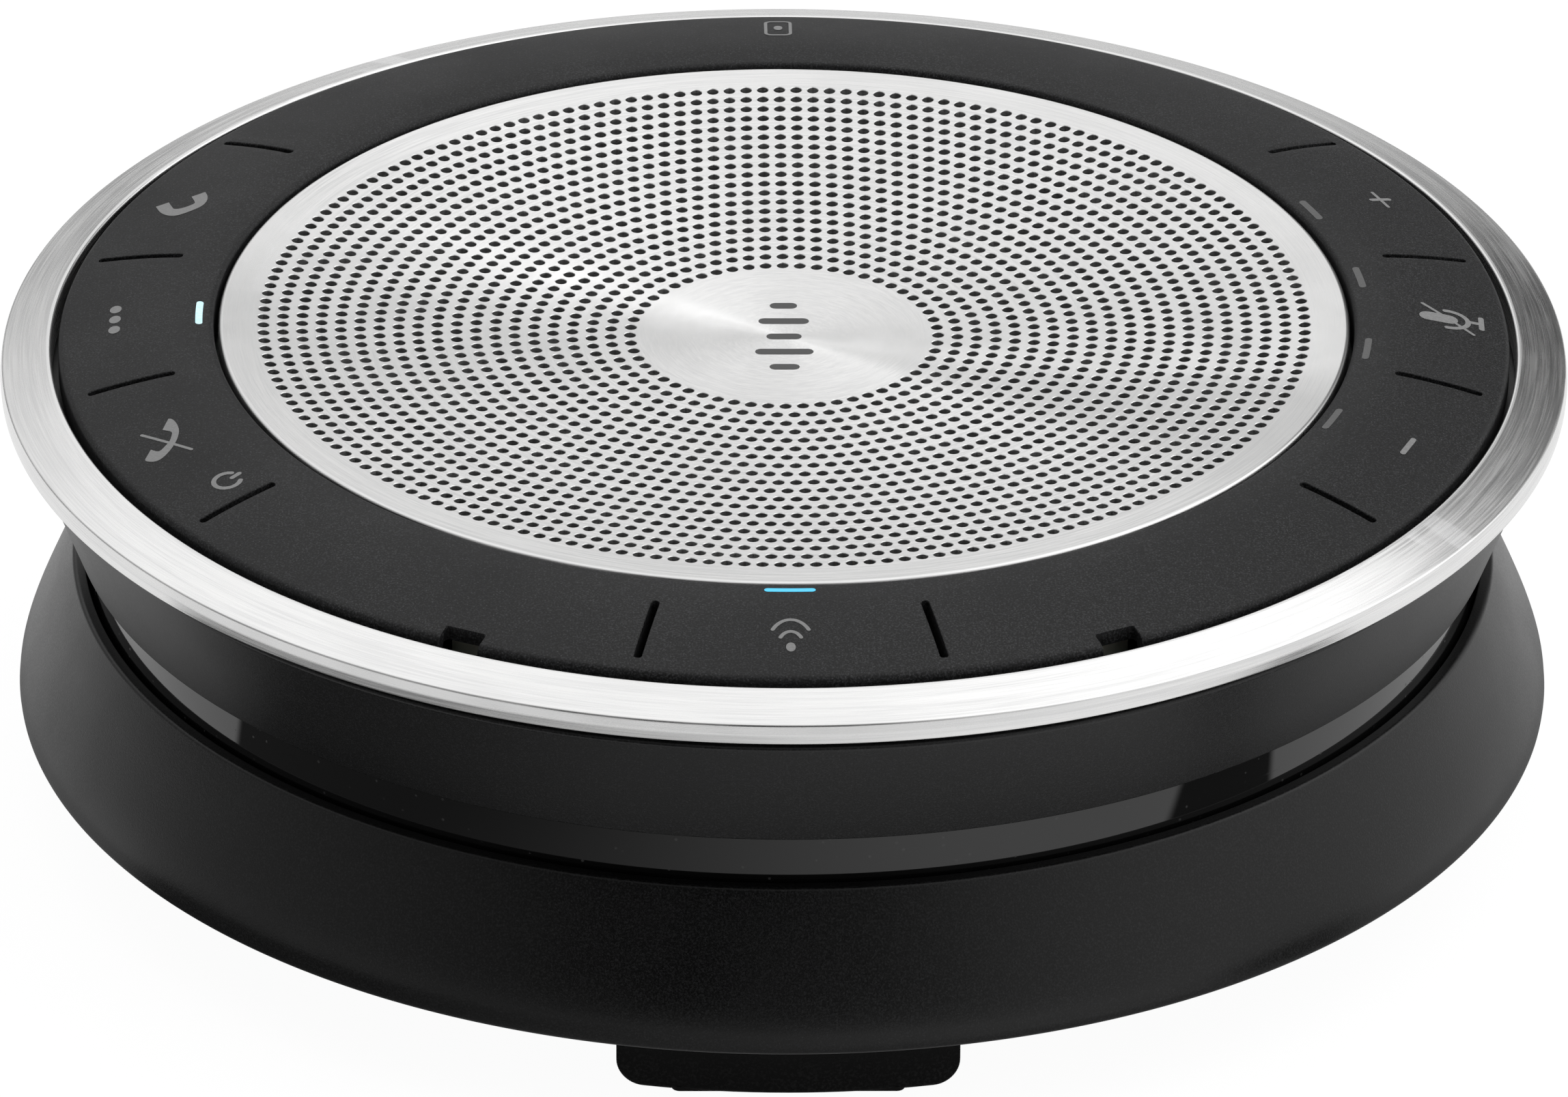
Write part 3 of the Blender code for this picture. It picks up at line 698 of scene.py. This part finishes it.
def make_grille():
    """The perforated steel face, in an inner and an outer piece that meet between two rings of holes."""
    seam = RING_PITCH * (MIDDLE_RING - 0.5)
    inner = grille_face(FIRST_RING, MIDDLE_RING - 1, 0.0, seam)
    points, faces = grille_face(MIDDLE_RING, LAST_RING, seam, BORDER_R)
    border_points, border_faces = grille_border()
    faces += [tuple(corner + len(points) for corner in face) for face in border_faces]
    outer = np.vstack([points, border_points]), faces
    for name, sheet in (("speaker_grille_inner", inner), ("speaker_grille_outer", outer)):
        piece = new_piece(name, *thickened(*sheet, grille_bottom), "grille_metal")
        exact_dish_normals(piece)
        mount(piece, "housing", "speaker_grille")

    bars = [stroke([(-half, y), (half, y)], 0.95) for half, y in
            ((0.6, 5.2), (1.5, 2.6), (0.9, 0.0), (1.8, -2.6), (0.7, -5.2))]
    printed("grille_level_mark", bars, dish_height, 0.012, 0.03, "dark_ink", "grille_metal", "housing")


# --- key ring

def crown_height(r):
    """Height of the key ring's face, which falls away outward from its inner part."""
    r = np.asarray(r, float)
    beyond = np.maximum(r - CROWN_R, 0.0)
    return RING_TOP - CROWN_FALL * beyond ** 1.5 - np.minimum(r - CROWN_R, 0.0) ** 2 / 60.0


def ring_face_line():
    """(radius, height) rows of the ring's face, from its rolled inner edge to its rolled outer edge."""
    radii = list(np.arange(45.2, 56.0, 0.4)) + [FLEX_R, NOTCH_INNER_R, NOTCH_INNER_R + 0.01]
    for k in range(1, 5):
        radii.append(NOTCH_INNER_R + NOTCH_CORNER * (1 - cos(k * pi / 8)))
    for k in range(7):
        step = SLOT_HALF * (1 - cos(k * pi / 12))
        radii += [SLOT_INNER_R + step, SLOT_OUTER_R - step]
    line = [(r, float(crown_height(r))) for r in sorted(set(np.round(radii, 4)))]
    turns = [k * pi / 12 for k in range(7)]
    inner_top = float(crown_height(RING_INNER_R + RING_ROLL))
    inner = [(RING_INNER_R + RING_ROLL * (1 - cos(t)), inner_top - RING_ROLL * (1 - sin(t))) for t in turns]
    outer = []
    for t in turns:
        r = RING_R - RING_ROLL * (1 - sin(t))
        outer.append((r, float(crown_height(r)) - RING_ROLL * (1 - cos(t))))
    return inner + line + outer


def half_gap(kind, r):
    """Half the width of the opening at a sector's edge, at distance r from the axis."""
    if kind == SLOT:
        if not SLOT_INNER_R < r < SLOT_OUTER_R:
            return 0.0
        end = min(r - SLOT_INNER_R, SLOT_OUTER_R - r, SLOT_HALF)
        return sqrt(SLOT_HALF ** 2 - (SLOT_HALF - end) ** 2)
    if r <= NOTCH_INNER_R:
        return 0.0
    end = min(r - NOTCH_INNER_R, NOTCH_CORNER)
    return NOTCH_HALF - NOTCH_CORNER + sqrt(NOTCH_CORNER ** 2 - (NOTCH_CORNER - end) ** 2)


def sector_face(line, start, start_kind, end, end_kind):
    """The ring's face between two angles in degrees, cut back round the openings at its edges, whose top
    edges it rounds."""
    lip_turns = [k * pi / 8 for k in range(5)]
    shares = [k / (end - start) for k in range(1, end - start)]
    widest = {SLOT: SLOT_HALF, NOTCH: NOTCH_HALF}
    points = []
    for r, z in line:
        gaps = [half_gap(kind, r) for kind in (start_kind, end_kind)]
        low = radians(start) + asin(gaps[0] / r)
        high = radians(end) - asin(gaps[1] / r)
        drops = [LIP * gap / widest[kind] for gap, kind in zip(gaps, (start_kind, end_kind))]
        row = [(low + LIP * (1 - cos(t)) / r, drops[0] * (1 - sin(t))) for t in lip_turns]
        row += [(low + share * (high - low), 0.0) for share in shares]
        row += [(high - LIP * (1 - cos(t)) / r, drops[1] * (1 - sin(t))) for t in reversed(lip_turns)]
        points += [(r * cos(a), r * sin(a), z - drop) for a, drop in row]
    return points, grid_faces(len(line), len(shares) + 2 * len(lip_turns))


def ring_bottom(points):
    r = np.hypot(points[:, 0], points[:, 1])
    return np.where((r > RING_R - 0.7) | (r < RING_INNER_R + 0.5), RING_LOW + 0.1, RING_UNDER)


def key_bottom(points):
    r = np.hypot(points[:, 0], points[:, 1])
    return np.where(r > RING_R - 0.7, RING_LOW + 0.1, np.where(r > 55.2, RING_UNDER, KEY_UNDER))


def make_key_ring():
    """The ring's still part, and seven separate key faces between the slots, split off along the inner edge
    that the keys bend down from.
    """
    line = ring_face_line()
    still_inner = [row for row in line if row[0] <= FLEX_R + 0.001]
    flexing = [row for row in line if row[0] >= FLEX_R - 0.001]
    points = []
    faces = []

    def join(made):
        offset = len(points)
        points.extend(made[0])
        faces.extend(tuple(corner + offset for corner in face) for face in made[1])

    for start, start_kind, end, end_kind in STILL_SECTORS:
        join(sector_face(line, start, start_kind, end, end_kind))
    for angle in KEYS.values():
        join(sector_face(still_inner, angle - KEY_HALF_ANGLE, SLOT, angle + KEY_HALF_ANGLE, SLOT))
    mount(new_piece("keypad_ring_skin", *thickened(points, faces, ring_bottom), "soft_touch"), "housing",
          "keypad_ring")
    for key, angle in KEYS.items():
        made = sector_face(flexing, angle - KEY_HALF_ANGLE, SLOT, angle + KEY_HALF_ANGLE, SLOT)
        skin = new_piece(f"key_{key}_skin", *thickened(*made, key_bottom), "soft_touch")
        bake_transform(skin)
        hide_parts(f"key_{key}")


def printed(name, outlines, surface, height, depth, look, slot, body, x=0.0, y=0.0, angle=0.0):
    """A thin plate with these outlines, turned and moved into place, on a surface of revolution."""
    flat, faces = filled(outlines)
    c, s = cos(radians(angle)), sin(radians(angle))
    flat = np.column_stack([x + flat[:, 0] * c - flat[:, 1] * s, y + flat[:, 0] * s + flat[:, 1] * c])
    base = surface(np.hypot(flat[:, 0], flat[:, 1]))
    points = np.column_stack([flat, base + height])
    obj = new_piece(name, *thickened(points, faces, lambda p: surface(np.hypot(p[:, 0], p[:, 1])) - depth),
                    look, slot)
    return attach(obj, body)


def answer_icon():
    """A handset lying open side up."""
    inner = [(-1.31, -0.4), (-1.01, -1.5), (-0.83, -1.92), (-0.4, -2.03), (0.21, -1.81), (0.69, -1.44),
             (0.77, -1.07), (0.48, 0.08)]
    outer = [(1.55, 0.67), (1.76, -0.27), (1.71, -1.2), (1.33, -2.08), (0.4, -2.85), (-0.59, -3.33),
             (-1.33, -3.04), (-1.92, -2.19), (-2.32, -0.85)]
    return [smooth_line(inner) + smooth_line(outer)]


def end_icon():
    """A handset standing on end, struck through."""
    inner = [(-0.77, 2.13), (-0.08, 1.66), (-0.04, 1.07), (-0.19, 0.27), (-0.53, -0.4), (-0.84, -0.86),
             (-1.12, -0.88), (-1.57, -0.51)]
    outer = [(-1.97, -1.76), (-1.87, -2.03), (-1.25, -2.27), (-0.67, -1.97), (-0.05, -0.93), (0.35, 0.27),
             (0.51, 1.47), (0.4, 2.4), (0.13, 3.2), (-0.16, 3.6), (-0.37, 3.66)]
    return [smooth_line(inner) + smooth_line(outer), stroke([(-2.35, 1.79), (1.55, -1.28)], 0.27)]


def power_icon():
    return [stroke(arc(-0.37, -0.43, 1.03, 1.05, 72.0, 352.0), 0.38),
            stroke([(0.0, -0.12), (0.52, 0.4)], 0.38)]


def mute_icon():
    """A microphone lying on its side, struck through."""
    return [stroke([(-1.95, 0.1), (-0.32, -0.05)], 1.4),
            stroke(arc(-0.42, -0.05, 1.6, 1.42, -95.0, 95.0), 0.42),
            stroke([(1.2, 0.08), (2.1, 0.08)], 0.42), stroke([(2.23, 1.05), (2.21, -0.75)], 0.44),
            stroke([(-2.3, 2.15), (1.5, -1.98)], 0.27)]


def pairing_icon():
    """A dot with two waves, for a wireless link."""
    arcs = [stroke(arc(0.0, -1.45, size, size * 1.9, 40.0, 140.0), 0.3) for size in (1.0, 1.75)]
    return [disc(0.0, -1.35, 0.36, 0.5)] + arcs


def tap_icon():
    """A card's outline with a dot, for the touch-to-connect spot."""
    frame_line = rounded_rectangle(2.0, 4.0, 0.5)
    return [stroke(frame_line[start:start + 13], 0.26) for start in (0, 11)] + [
        stroke([frame_line[23], frame_line[0]], 0.26), disc(0.0, 0.0, 0.36, 0.62)]


def make_prints():
    """The grey signs on the keys and on the ring."""
    dots = [disc(-0.05, y, 0.46, 0.62) for y in (1.72, 0.0, -1.72)]
    plus_sign = [stroke([(-0.6, 0.93), (0.55, -1.6)], 0.28), stroke([(-0.72, -0.63), (0.66, -0.01)], 0.42)]
    minus_sign = [stroke([(0.44, 1.0), (-0.48, -1.13)], 0.44)]
    signs = (
        ("sign_answer", answer_icon(), 51.7, 156.0, "key_answer_call_body"),
        ("sign_menu", dots, 52.0, 180.0, "key_menu_body"),
        ("sign_end_call", end_icon(), 51.4, 204.0, "key_end_call_body"),
        ("sign_power", power_icon(), 50.0, 212.5, "key_end_call_body"),
        ("sign_volume_up", plus_sign, 52.0, 24.0, "key_volume_up_body"),
        ("sign_mute", mute_icon(), 52.1, 0.0, "key_mute_body"),
        ("sign_volume_down", minus_sign, 52.0, -24.0, "key_volume_down_body"),
        ("sign_pairing", pairing_icon(), 51.6, -90.0, "key_pairing_body"),
        ("sign_tap", tap_icon(), 52.2, 90.0, "housing"),
    )
    for name, outlines, r, angle, body in signs:
        x, y = polar(r, angle)
        printed(name, outlines, crown_height, 0.03, 0.05, "ink", "soft_touch", body, x, y)


def make_lamps():
    """The light pipes' visible faces, curved bars let into the ring just inside the keys."""
    looks_of = {"menu": "lit_white", "pairing": "lit_blue"}
    for lamp, angle in LAMPS.items():
        lit = lamp in looks_of
        half_turn = degrees((1.65 if lit else 1.5) / LAMP_R)
        bar = stroke(arc(0.0, 0.0, LAMP_R, LAMP_R, -half_turn, half_turn, 12), 0.55)
        look = looks_of.get(lamp, "unlit_pipe")
        obj = printed(f"lamp_{lamp}", [bar], crown_height, 0.015, 1.0, look, look, "housing", angle=angle)
        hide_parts(f"light_pipe_{lamp}")


# --- housing

def make_rim():
    lathe("metal_rim_skin", rounded([
        (57.0, RIM_TOP, 0.2), (57.4, RIM_TOP - 0.02, 0.15), (60.88, 36.0, 0.22), (RIM_R, 35.2, 0.8),
        (RIM_R - 0.06, RIM_LOW, 0.15), (57.0, RIM_LOW, 0.1)]), "rim_metal", "metal_rim", 480)


def make_wall():
    """The conical wall under the rim, with the deck inside it, and the gloss band round its foot."""
    foot, deck_low, deck_top = 23.4, 31.0, 31.8
    lathe("upper_housing_skin", rounded([
        (58.6, WALL_TOP, 0.0), (58.6, 33.25, 0.0), (WALL_R, 33.2, 0.28), (55.72, foot, 0.14),
        (53.6, foot, 0.1), (56.9, deck_top, 0.0), (42.8, deck_top, 0.0), (42.8, deck_low, 0.0),
        (34.0, deck_low, 0.0), (34.0, 32.9, 0.0), (41.6, 32.9, 0.0), (42.8, 34.0, 0.0)]),
        "black_plastic", "upper_housing")
    lathe("waist_band_skin", rounded([
        (BAND_R, BAND_TOP, 0.0), (BAND_R, BAND_LOW + 0.4, 0.35), (BAND_R - 0.5, BAND_LOW, 0.1),
        (51.6, BAND_LOW, 0.0), (51.6, BAND_TOP, 0.0)]), "gloss_black", "waist_band")


def cut(obj, points, faces):
    """Takes a closed shape away from a piece, for good."""
    mesh = bpy.data.meshes.new("cutter")
    points, faces = weld(points, faces)
    mesh.from_pydata((points * MM).tolist(), [], faces)
    cutter = new_object("cutter", mesh)
    modifier = obj.modifiers.new("Cut", "BOOLEAN")
    modifier.operation = "DIFFERENCE"
    modifier.solver = "EXACT"
    modifier.object = cutter
    bpy.context.view_layer.update()
    graph = bpy.context.evaluated_depsgraph_get()
    made = bpy.data.meshes.new_from_object(obj.evaluated_get(graph))
    obj.modifiers.clear()
    obj.data = made
    bpy.data.objects.remove(cutter, do_unlink=True)


def block(outline, low, high):
    """An upright solid of a flat outline."""
    flat, faces = filled([outline])
    points = np.column_stack([flat, np.full(len(flat), high)])
    return thickened(points, faces, lambda p: np.full(len(p), low))


def make_skirt():
    """The flared skirt with the socket's slot at the back."""
    flare = smooth_line([(56.25, 18.0), (57.2, 16.0), (58.55, 13.0), (59.45, 10.8), (59.95, 9.2),
                         (SKIRT_R, 8.0)], 6)
    lip = rounded([(SKIRT_R, 8.6, 0.0), (SKIRT_R - 0.05, SKIRT_LOW, 0.45), (58.4, SKIRT_LOW, 0.1)], False)
    top = rounded([(54.75, 18.2, 0.0), (54.75, SKIRT_TOP, 0.1), (55.65, SKIRT_TOP - 0.02, 0.4),
                   (56.25, 18.0, 0.0)], False)
    inside = [(58.4, SKIRT_LOW), (57.6, 10.6), (56.0, 14.8), (46.0, 14.8), (46.0, 16.5), (54.4, 16.5)]
    skirt = lathe("base_skirt_skin", top[:-1] + flare[1:] + lip[1:-1] + inside, "matte_black", "base_skirt")
    points, faces = block(rounded_rectangle(9.6, 3.8, 1.85), -62.0, -52.0)
    points = np.column_stack([points[:, 0], -points[:, 2], points[:, 1] + USB_Z])
    cut(skirt, points, faces)


def make_cover():
    """The plate under the skirt, with a shallow step, and its screws in wells, with crossed recesses."""
    step = COVER_LOW + 0.4
    cover = lathe("bottom_cover_skin", rounded([
        (0.0, COVER_TOP, 0.0), (COVER_R - 0.3, COVER_TOP, 0.1), (COVER_R, 7.1, 0.1), (55.5, COVER_LOW, 0.3),
        (44.0, COVER_LOW, 0.15), (43.6, step, 0.15), (0.0, step, 0.0)], False),
        "matte_black", "bottom_cover")
    for number in range(1, 5):
        low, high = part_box(f"base_screw_{number}")
        x, y = (low.x + high.x) / 2 / MM, (low.y + high.y) / 2 / MM
        cut(cover, *block(disc(x, y, 3.0, 3.0, 32), 4.0, 6.6))
        cut(cover, *block(disc(x, y, 1.6, 1.6, 24), 6.0, 9.0))
        head = rounded([
            (0.0, 25.0, 0.0), (1.1, 25.0, 0.0), (1.25, 24.6, 0.0), (1.25, 6.35, 0.0), (2.6, 6.3, 0.1),
            (2.6, 5.75, 0.2), (1.8, 5.65, 0.4), (0.0, 5.65, 0.0)], False)
        screw = lathe(f"base_screw_{number}_skin", head, "steel", f"base_screw_{number}", 48)
        screw.data.transform(Matrix.Translation((x * MM, y * MM, 0.0)))
        for width, depth in ((2.7, 0.55), (0.55, 2.7)):
            cut(screw, *block(rounded_rectangle(width, depth, 0.12, x, y), 5.0, 6.15))


def tube_faces(rows, count):
    """Faces of a tube through rows of count points each, and of its two ends."""
    around = [(i, (i + 1) % count) for i in range(count)]
    faces = [(j * count + a, (j + 1) * count + a, (j + 1) * count + b, j * count + b)
             for j in range(rows - 1) for a, b in around]
    return faces + [tuple(range(count)), tuple(reversed(range((rows - 1) * count, rows * count)))]


def make_foot(name, angle):
    """A curved rubber foot with rounded ends and lower edges, on two low pads."""
    inner_r, low, corner, edge = 47.5, 0.14, 2.0, 0.343
    across = [FOOT_HALF - corner * (1 - cos(k * pi / 24)) for k in range(13)]
    across = [-x for x in across] + [x * (FOOT_HALF - corner) / 8 for x in range(-7, 8)] + across[::-1]
    points = []
    for x in across:
        inset = max(0.0, abs(x) - (FOOT_HALF - corner)) / corner
        bottom = low + corner * (1 - sqrt(max(0.0, 1 - inset ** 2)))
        soft = edge * min(1.0, (FOOT_TOP - bottom) / 1.2)
        section = rounded([(inner_r, FOOT_TOP, 0.0), (inner_r, bottom, soft), (FOOT_OUTER_R, bottom, soft),
                           (FOOT_OUTER_R, FOOT_TOP, 0.0)], support=0.02)
        points += [(x, -sqrt(r * r - x * x), z) for r, z in section]
    size = len(section)
    turn = Matrix.Rotation(radians(angle + 90.0), 4, "Z")
    foot = new_piece(f"{name}_skin", points, tube_faces(len(across), size), "foot_rubber")
    foot.data.transform(turn)
    mount(foot, "housing", name)
    for number, side in enumerate((-1, 1), 1):
        wide = rounded_rectangle(7.1, 4.6, 0.6, side * 5.25, -50.7)
        small = rounded_rectangle(6.8, 4.3, 0.45, side * 5.25, -50.7)
        rows = ((wide, low + 0.3), (wide, 0.08), (small, 0.0))
        points = [(*p, z) for outline, z in rows for p in outline]
        pad = new_piece(f"{name}_pad_{number}", points, tube_faces(len(rows), len(wide)), "foot_rubber")
        pad.data.transform(turn)
        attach(pad, "housing")


def make_soft_parts():
    """The acoustic cloth glued behind the grille, and the foam gasket round the loudspeaker."""
    middle = (CLOTH_LOW + CLOTH_TOP) / 2
    thick = (CLOTH_TOP - CLOTH_LOW) * 0.35
    top = [(r, middle + thick + 0.03 * sin(r * 0.9)) for r in np.linspace(0.0, CLOTH_R - 0.15, 40)]
    bottom = [(r, z - 2 * thick) for r, z in reversed(top)]
    cloth = lathe("grille_cloth_sheet", top + [(CLOTH_R, middle)] + bottom, "acoustic_cloth", "grille_cloth",
                  180)
    inner_r = GASKET_R - 2.2
    gasket = lathe("speaker_gasket_foam", rounded([
        (GASKET_R, GASKET_TOP, 0.5), (GASKET_R, GASKET_LOW, 0.2), (inner_r, GASKET_LOW, 0.2),
        (inner_r, GASKET_TOP, 0.5)]), "gasket_foam", "speaker_gasket", 180)


# --- studio

def lobe(tree, heading, way, wide, narrow, strength):
    """Light from round one direction, fading from a wide to a narrow cosine."""
    way = Vector(way).normalized()
    facing = add(tree, "VectorMath", {0: heading, 1: way}, operation="DOT_PRODUCT").outputs["Value"]
    return ramp(tree, facing, wide, narrow, 0.0, strength)


def make_world():
    """A dark room with soft light from above and behind, shaded at the right of it, and with paler sides.
    Plain white to the camera."""
    world = bpy.data.worlds.new("studio")
    world.use_nodes = True
    bpy.context.scene.world = world
    tree = world.node_tree
    tree.nodes.clear()
    heading = add(tree, "TexCoord").outputs["Generated"]
    back = lobe(tree, heading, (0.12, 0.45, 0.885), 0.3, 0.95, 1.18)
    shade = lobe(tree, heading, (0.42, 0.82, 0.4), 0.905, 0.978, 0.95)
    shaded_back = times(tree, back, math(tree, "SUBTRACT", 1.0, shade))
    right = lobe(tree, heading, (0.94, -0.1, 0.34), 0.25, 0.95, 0.88)
    left = lobe(tree, heading, (-0.96, 0.0, 0.28), 0.4, 0.95, 0.32)
    total = plus(tree, plus(tree, shaded_back, right), plus(tree, left, 0.01))
    seen = add(tree, "LightPath").outputs["Is Camera Ray"]
    room, white = (add(tree, "Background", {"Color": grey(1.0), "Strength": strength}).outputs[0]
                   for strength in (total, 1.0))
    chosen = add(tree, "MixShader", {0: seen, 1: room, 2: white}).outputs[0]
    add(tree, "OutputWorld", {"Surface": chosen})


def make_floor():
    """A pale table, plain white to the camera and clear from below. What the object mirrors of it carries
    painted shade:
    a painted contact shadow beside the object, a painted shadow at the front left, and a painted dark patch
    at the front right."""
    material, tree, place = new_material("pale_floor", Roughness=0.9, Specular_IOR_Level=0.0,
                                         Base_Color=grey(0.08), Emission_Color=grey(1.0))
    shader = tree.nodes["Principled BSDF"]
    parts = add(tree, "SeparateXYZ", {"Vector": place})
    x, y = parts.outputs["X"], parts.outputs["Y"]
    reach = add(tree, "VectorMath", {0: place}, operation="LENGTH").outputs["Value"]
    near = ramp(tree, reach, 0.112, 0.125, 1.0, 0.0)
    # Painted shadow at the front left: the floor's glow fades out there, in what the object mirrors.
    painted_shadow_front_left = times(tree, ramp(tree, y, -0.028, -0.026, 1.0, 0.0),
                      ramp(tree, x, -0.066, 0.045, 0.96, 0.0))
    # Painted dark patch at the front right: a strip across Y, kept to the right side below, without glow in
    # what the object mirrors.
    card = times(tree, ramp(tree, y, -0.043, -0.041, 1.0, 0.0), ramp(tree, y, -0.062, -0.060))
    painted_dark_patch = times(tree, card, ramp(tree, x, 0.05, 0.052))
    # Painted contact shadow: the floor's glow is cut round the object's foot, where shade falls.
    beside = ramp(tree, reach, 0.07, 0.08, 0.6, 0.0)
    # All the floor's painted shade: the contact shadow, and near the object the front-left shadow and the
    # dark patch.
    dark = math(tree, "MAXIMUM", beside, times(tree, near,
                                              math(tree, "MAXIMUM", painted_shadow_front_left, painted_dark_patch)))
    glow = times(tree, math(tree, "SUBTRACT", 1.0, dark), 0.9)
    seen = add(tree, "LightPath").outputs["Is Camera Ray"]
    strength = math(tree, "MAXIMUM", glow, times(tree, seen, 0.96))
    tree.links.new(strength, shader.inputs["Emission Strength"])
    beneath = add(tree, "NewGeometry").outputs["Backfacing"]
    clear = add(tree, "BsdfTransparent").outputs[0]
    surface = add(tree, "MixShader", {0: beneath, 1: shader.outputs[0], 2: clear}).outputs[0]
    tree.links.new(surface, tree.nodes["Material Output"].inputs["Surface"])
    half = 3.0
    mesh = bpy.data.meshes.new("floor")
    corners = [(x * half, y * half, 0.0) for x, y in ((-1, -1), (1, -1), (1, 1), (-1, 1))]
    mesh.from_pydata(corners, [], [(0, 1, 2, 3)])
    mesh.materials.append(material)
    floor = new_object("floor", mesh)
    floor.location.z = -0.0002


def make_lights():
    """A long strip light behind and to the right, whose glint crosses the grille."""
    light = bpy.data.lights.new("strip", "AREA")
    light.shape = "RECTANGLE"
    light.size = 0.03
    light.size_y = 0.77
    light.energy = 0.12
    obj = new_object("strip", light)
    away = Vector((0.0587, 0.844, 0.533)).normalized()
    lengthways = Vector((0.839, -0.545, 0.77)).normalized()
    obj.location = away * 1.6
    obj.rotation_mode = "QUATERNION"
    axes = Matrix((lengthways.cross(away), lengthways, away)).transposed()
    obj.rotation_quaternion = axes.to_quaternion()


def make_camera():
    """A long lens over the table, aimed below the grille's middle."""
    camera = bpy.data.cameras.new("camera")
    camera.lens = CAMERA_LENS
    camera.sensor_width = SENSOR_WIDTH
    camera.clip_start = 0.05
    camera.clip_end = 20.0
    obj = new_object("camera", camera)
    elevation, tilt = radians(CAMERA_ELEVATION), radians(CAMERA_TILT)
    across = Vector((1.0, 0.0, 0.0))
    forward = Vector((0.0, cos(elevation), -sin(elevation)))
    level_up = Vector((0.0, sin(elevation), cos(elevation)))
    right = across * cos(tilt) - level_up * sin(tilt)
    up = across * sin(tilt) + level_up * cos(tilt)
    turn = Matrix.Rotation(radians(CAMERA_TURN), 3, "Z")
    dish = Vector((0.0, 0.0, float(dish_height(0.0))))
    obj.location = (dish + turn @ (-CAMERA_AIM_DROP * up - CAMERA_DISTANCE * forward)) * MM
    obj.rotation_mode = "QUATERNION"
    obj.rotation_quaternion = (turn @ Matrix((right, up, -forward)).transposed()).to_quaternion()
    bpy.context.scene.camera = obj
    bpy.context.scene.view_settings.view_transform = "Standard"


looks = make_materials()
make_camera()
make_world()
make_lights()
make_floor()
dress_carried_nodes()
make_grille()
make_key_ring()
make_prints()
make_lamps()
make_rim()
make_wall()
make_skirt()
make_cover()
for side, side_angle in (("front", -90.0), ("right", 0.0), ("back", 90.0), ("left", 180.0)):
    make_foot(f"foot_{side}", side_angle)
make_soft_parts()
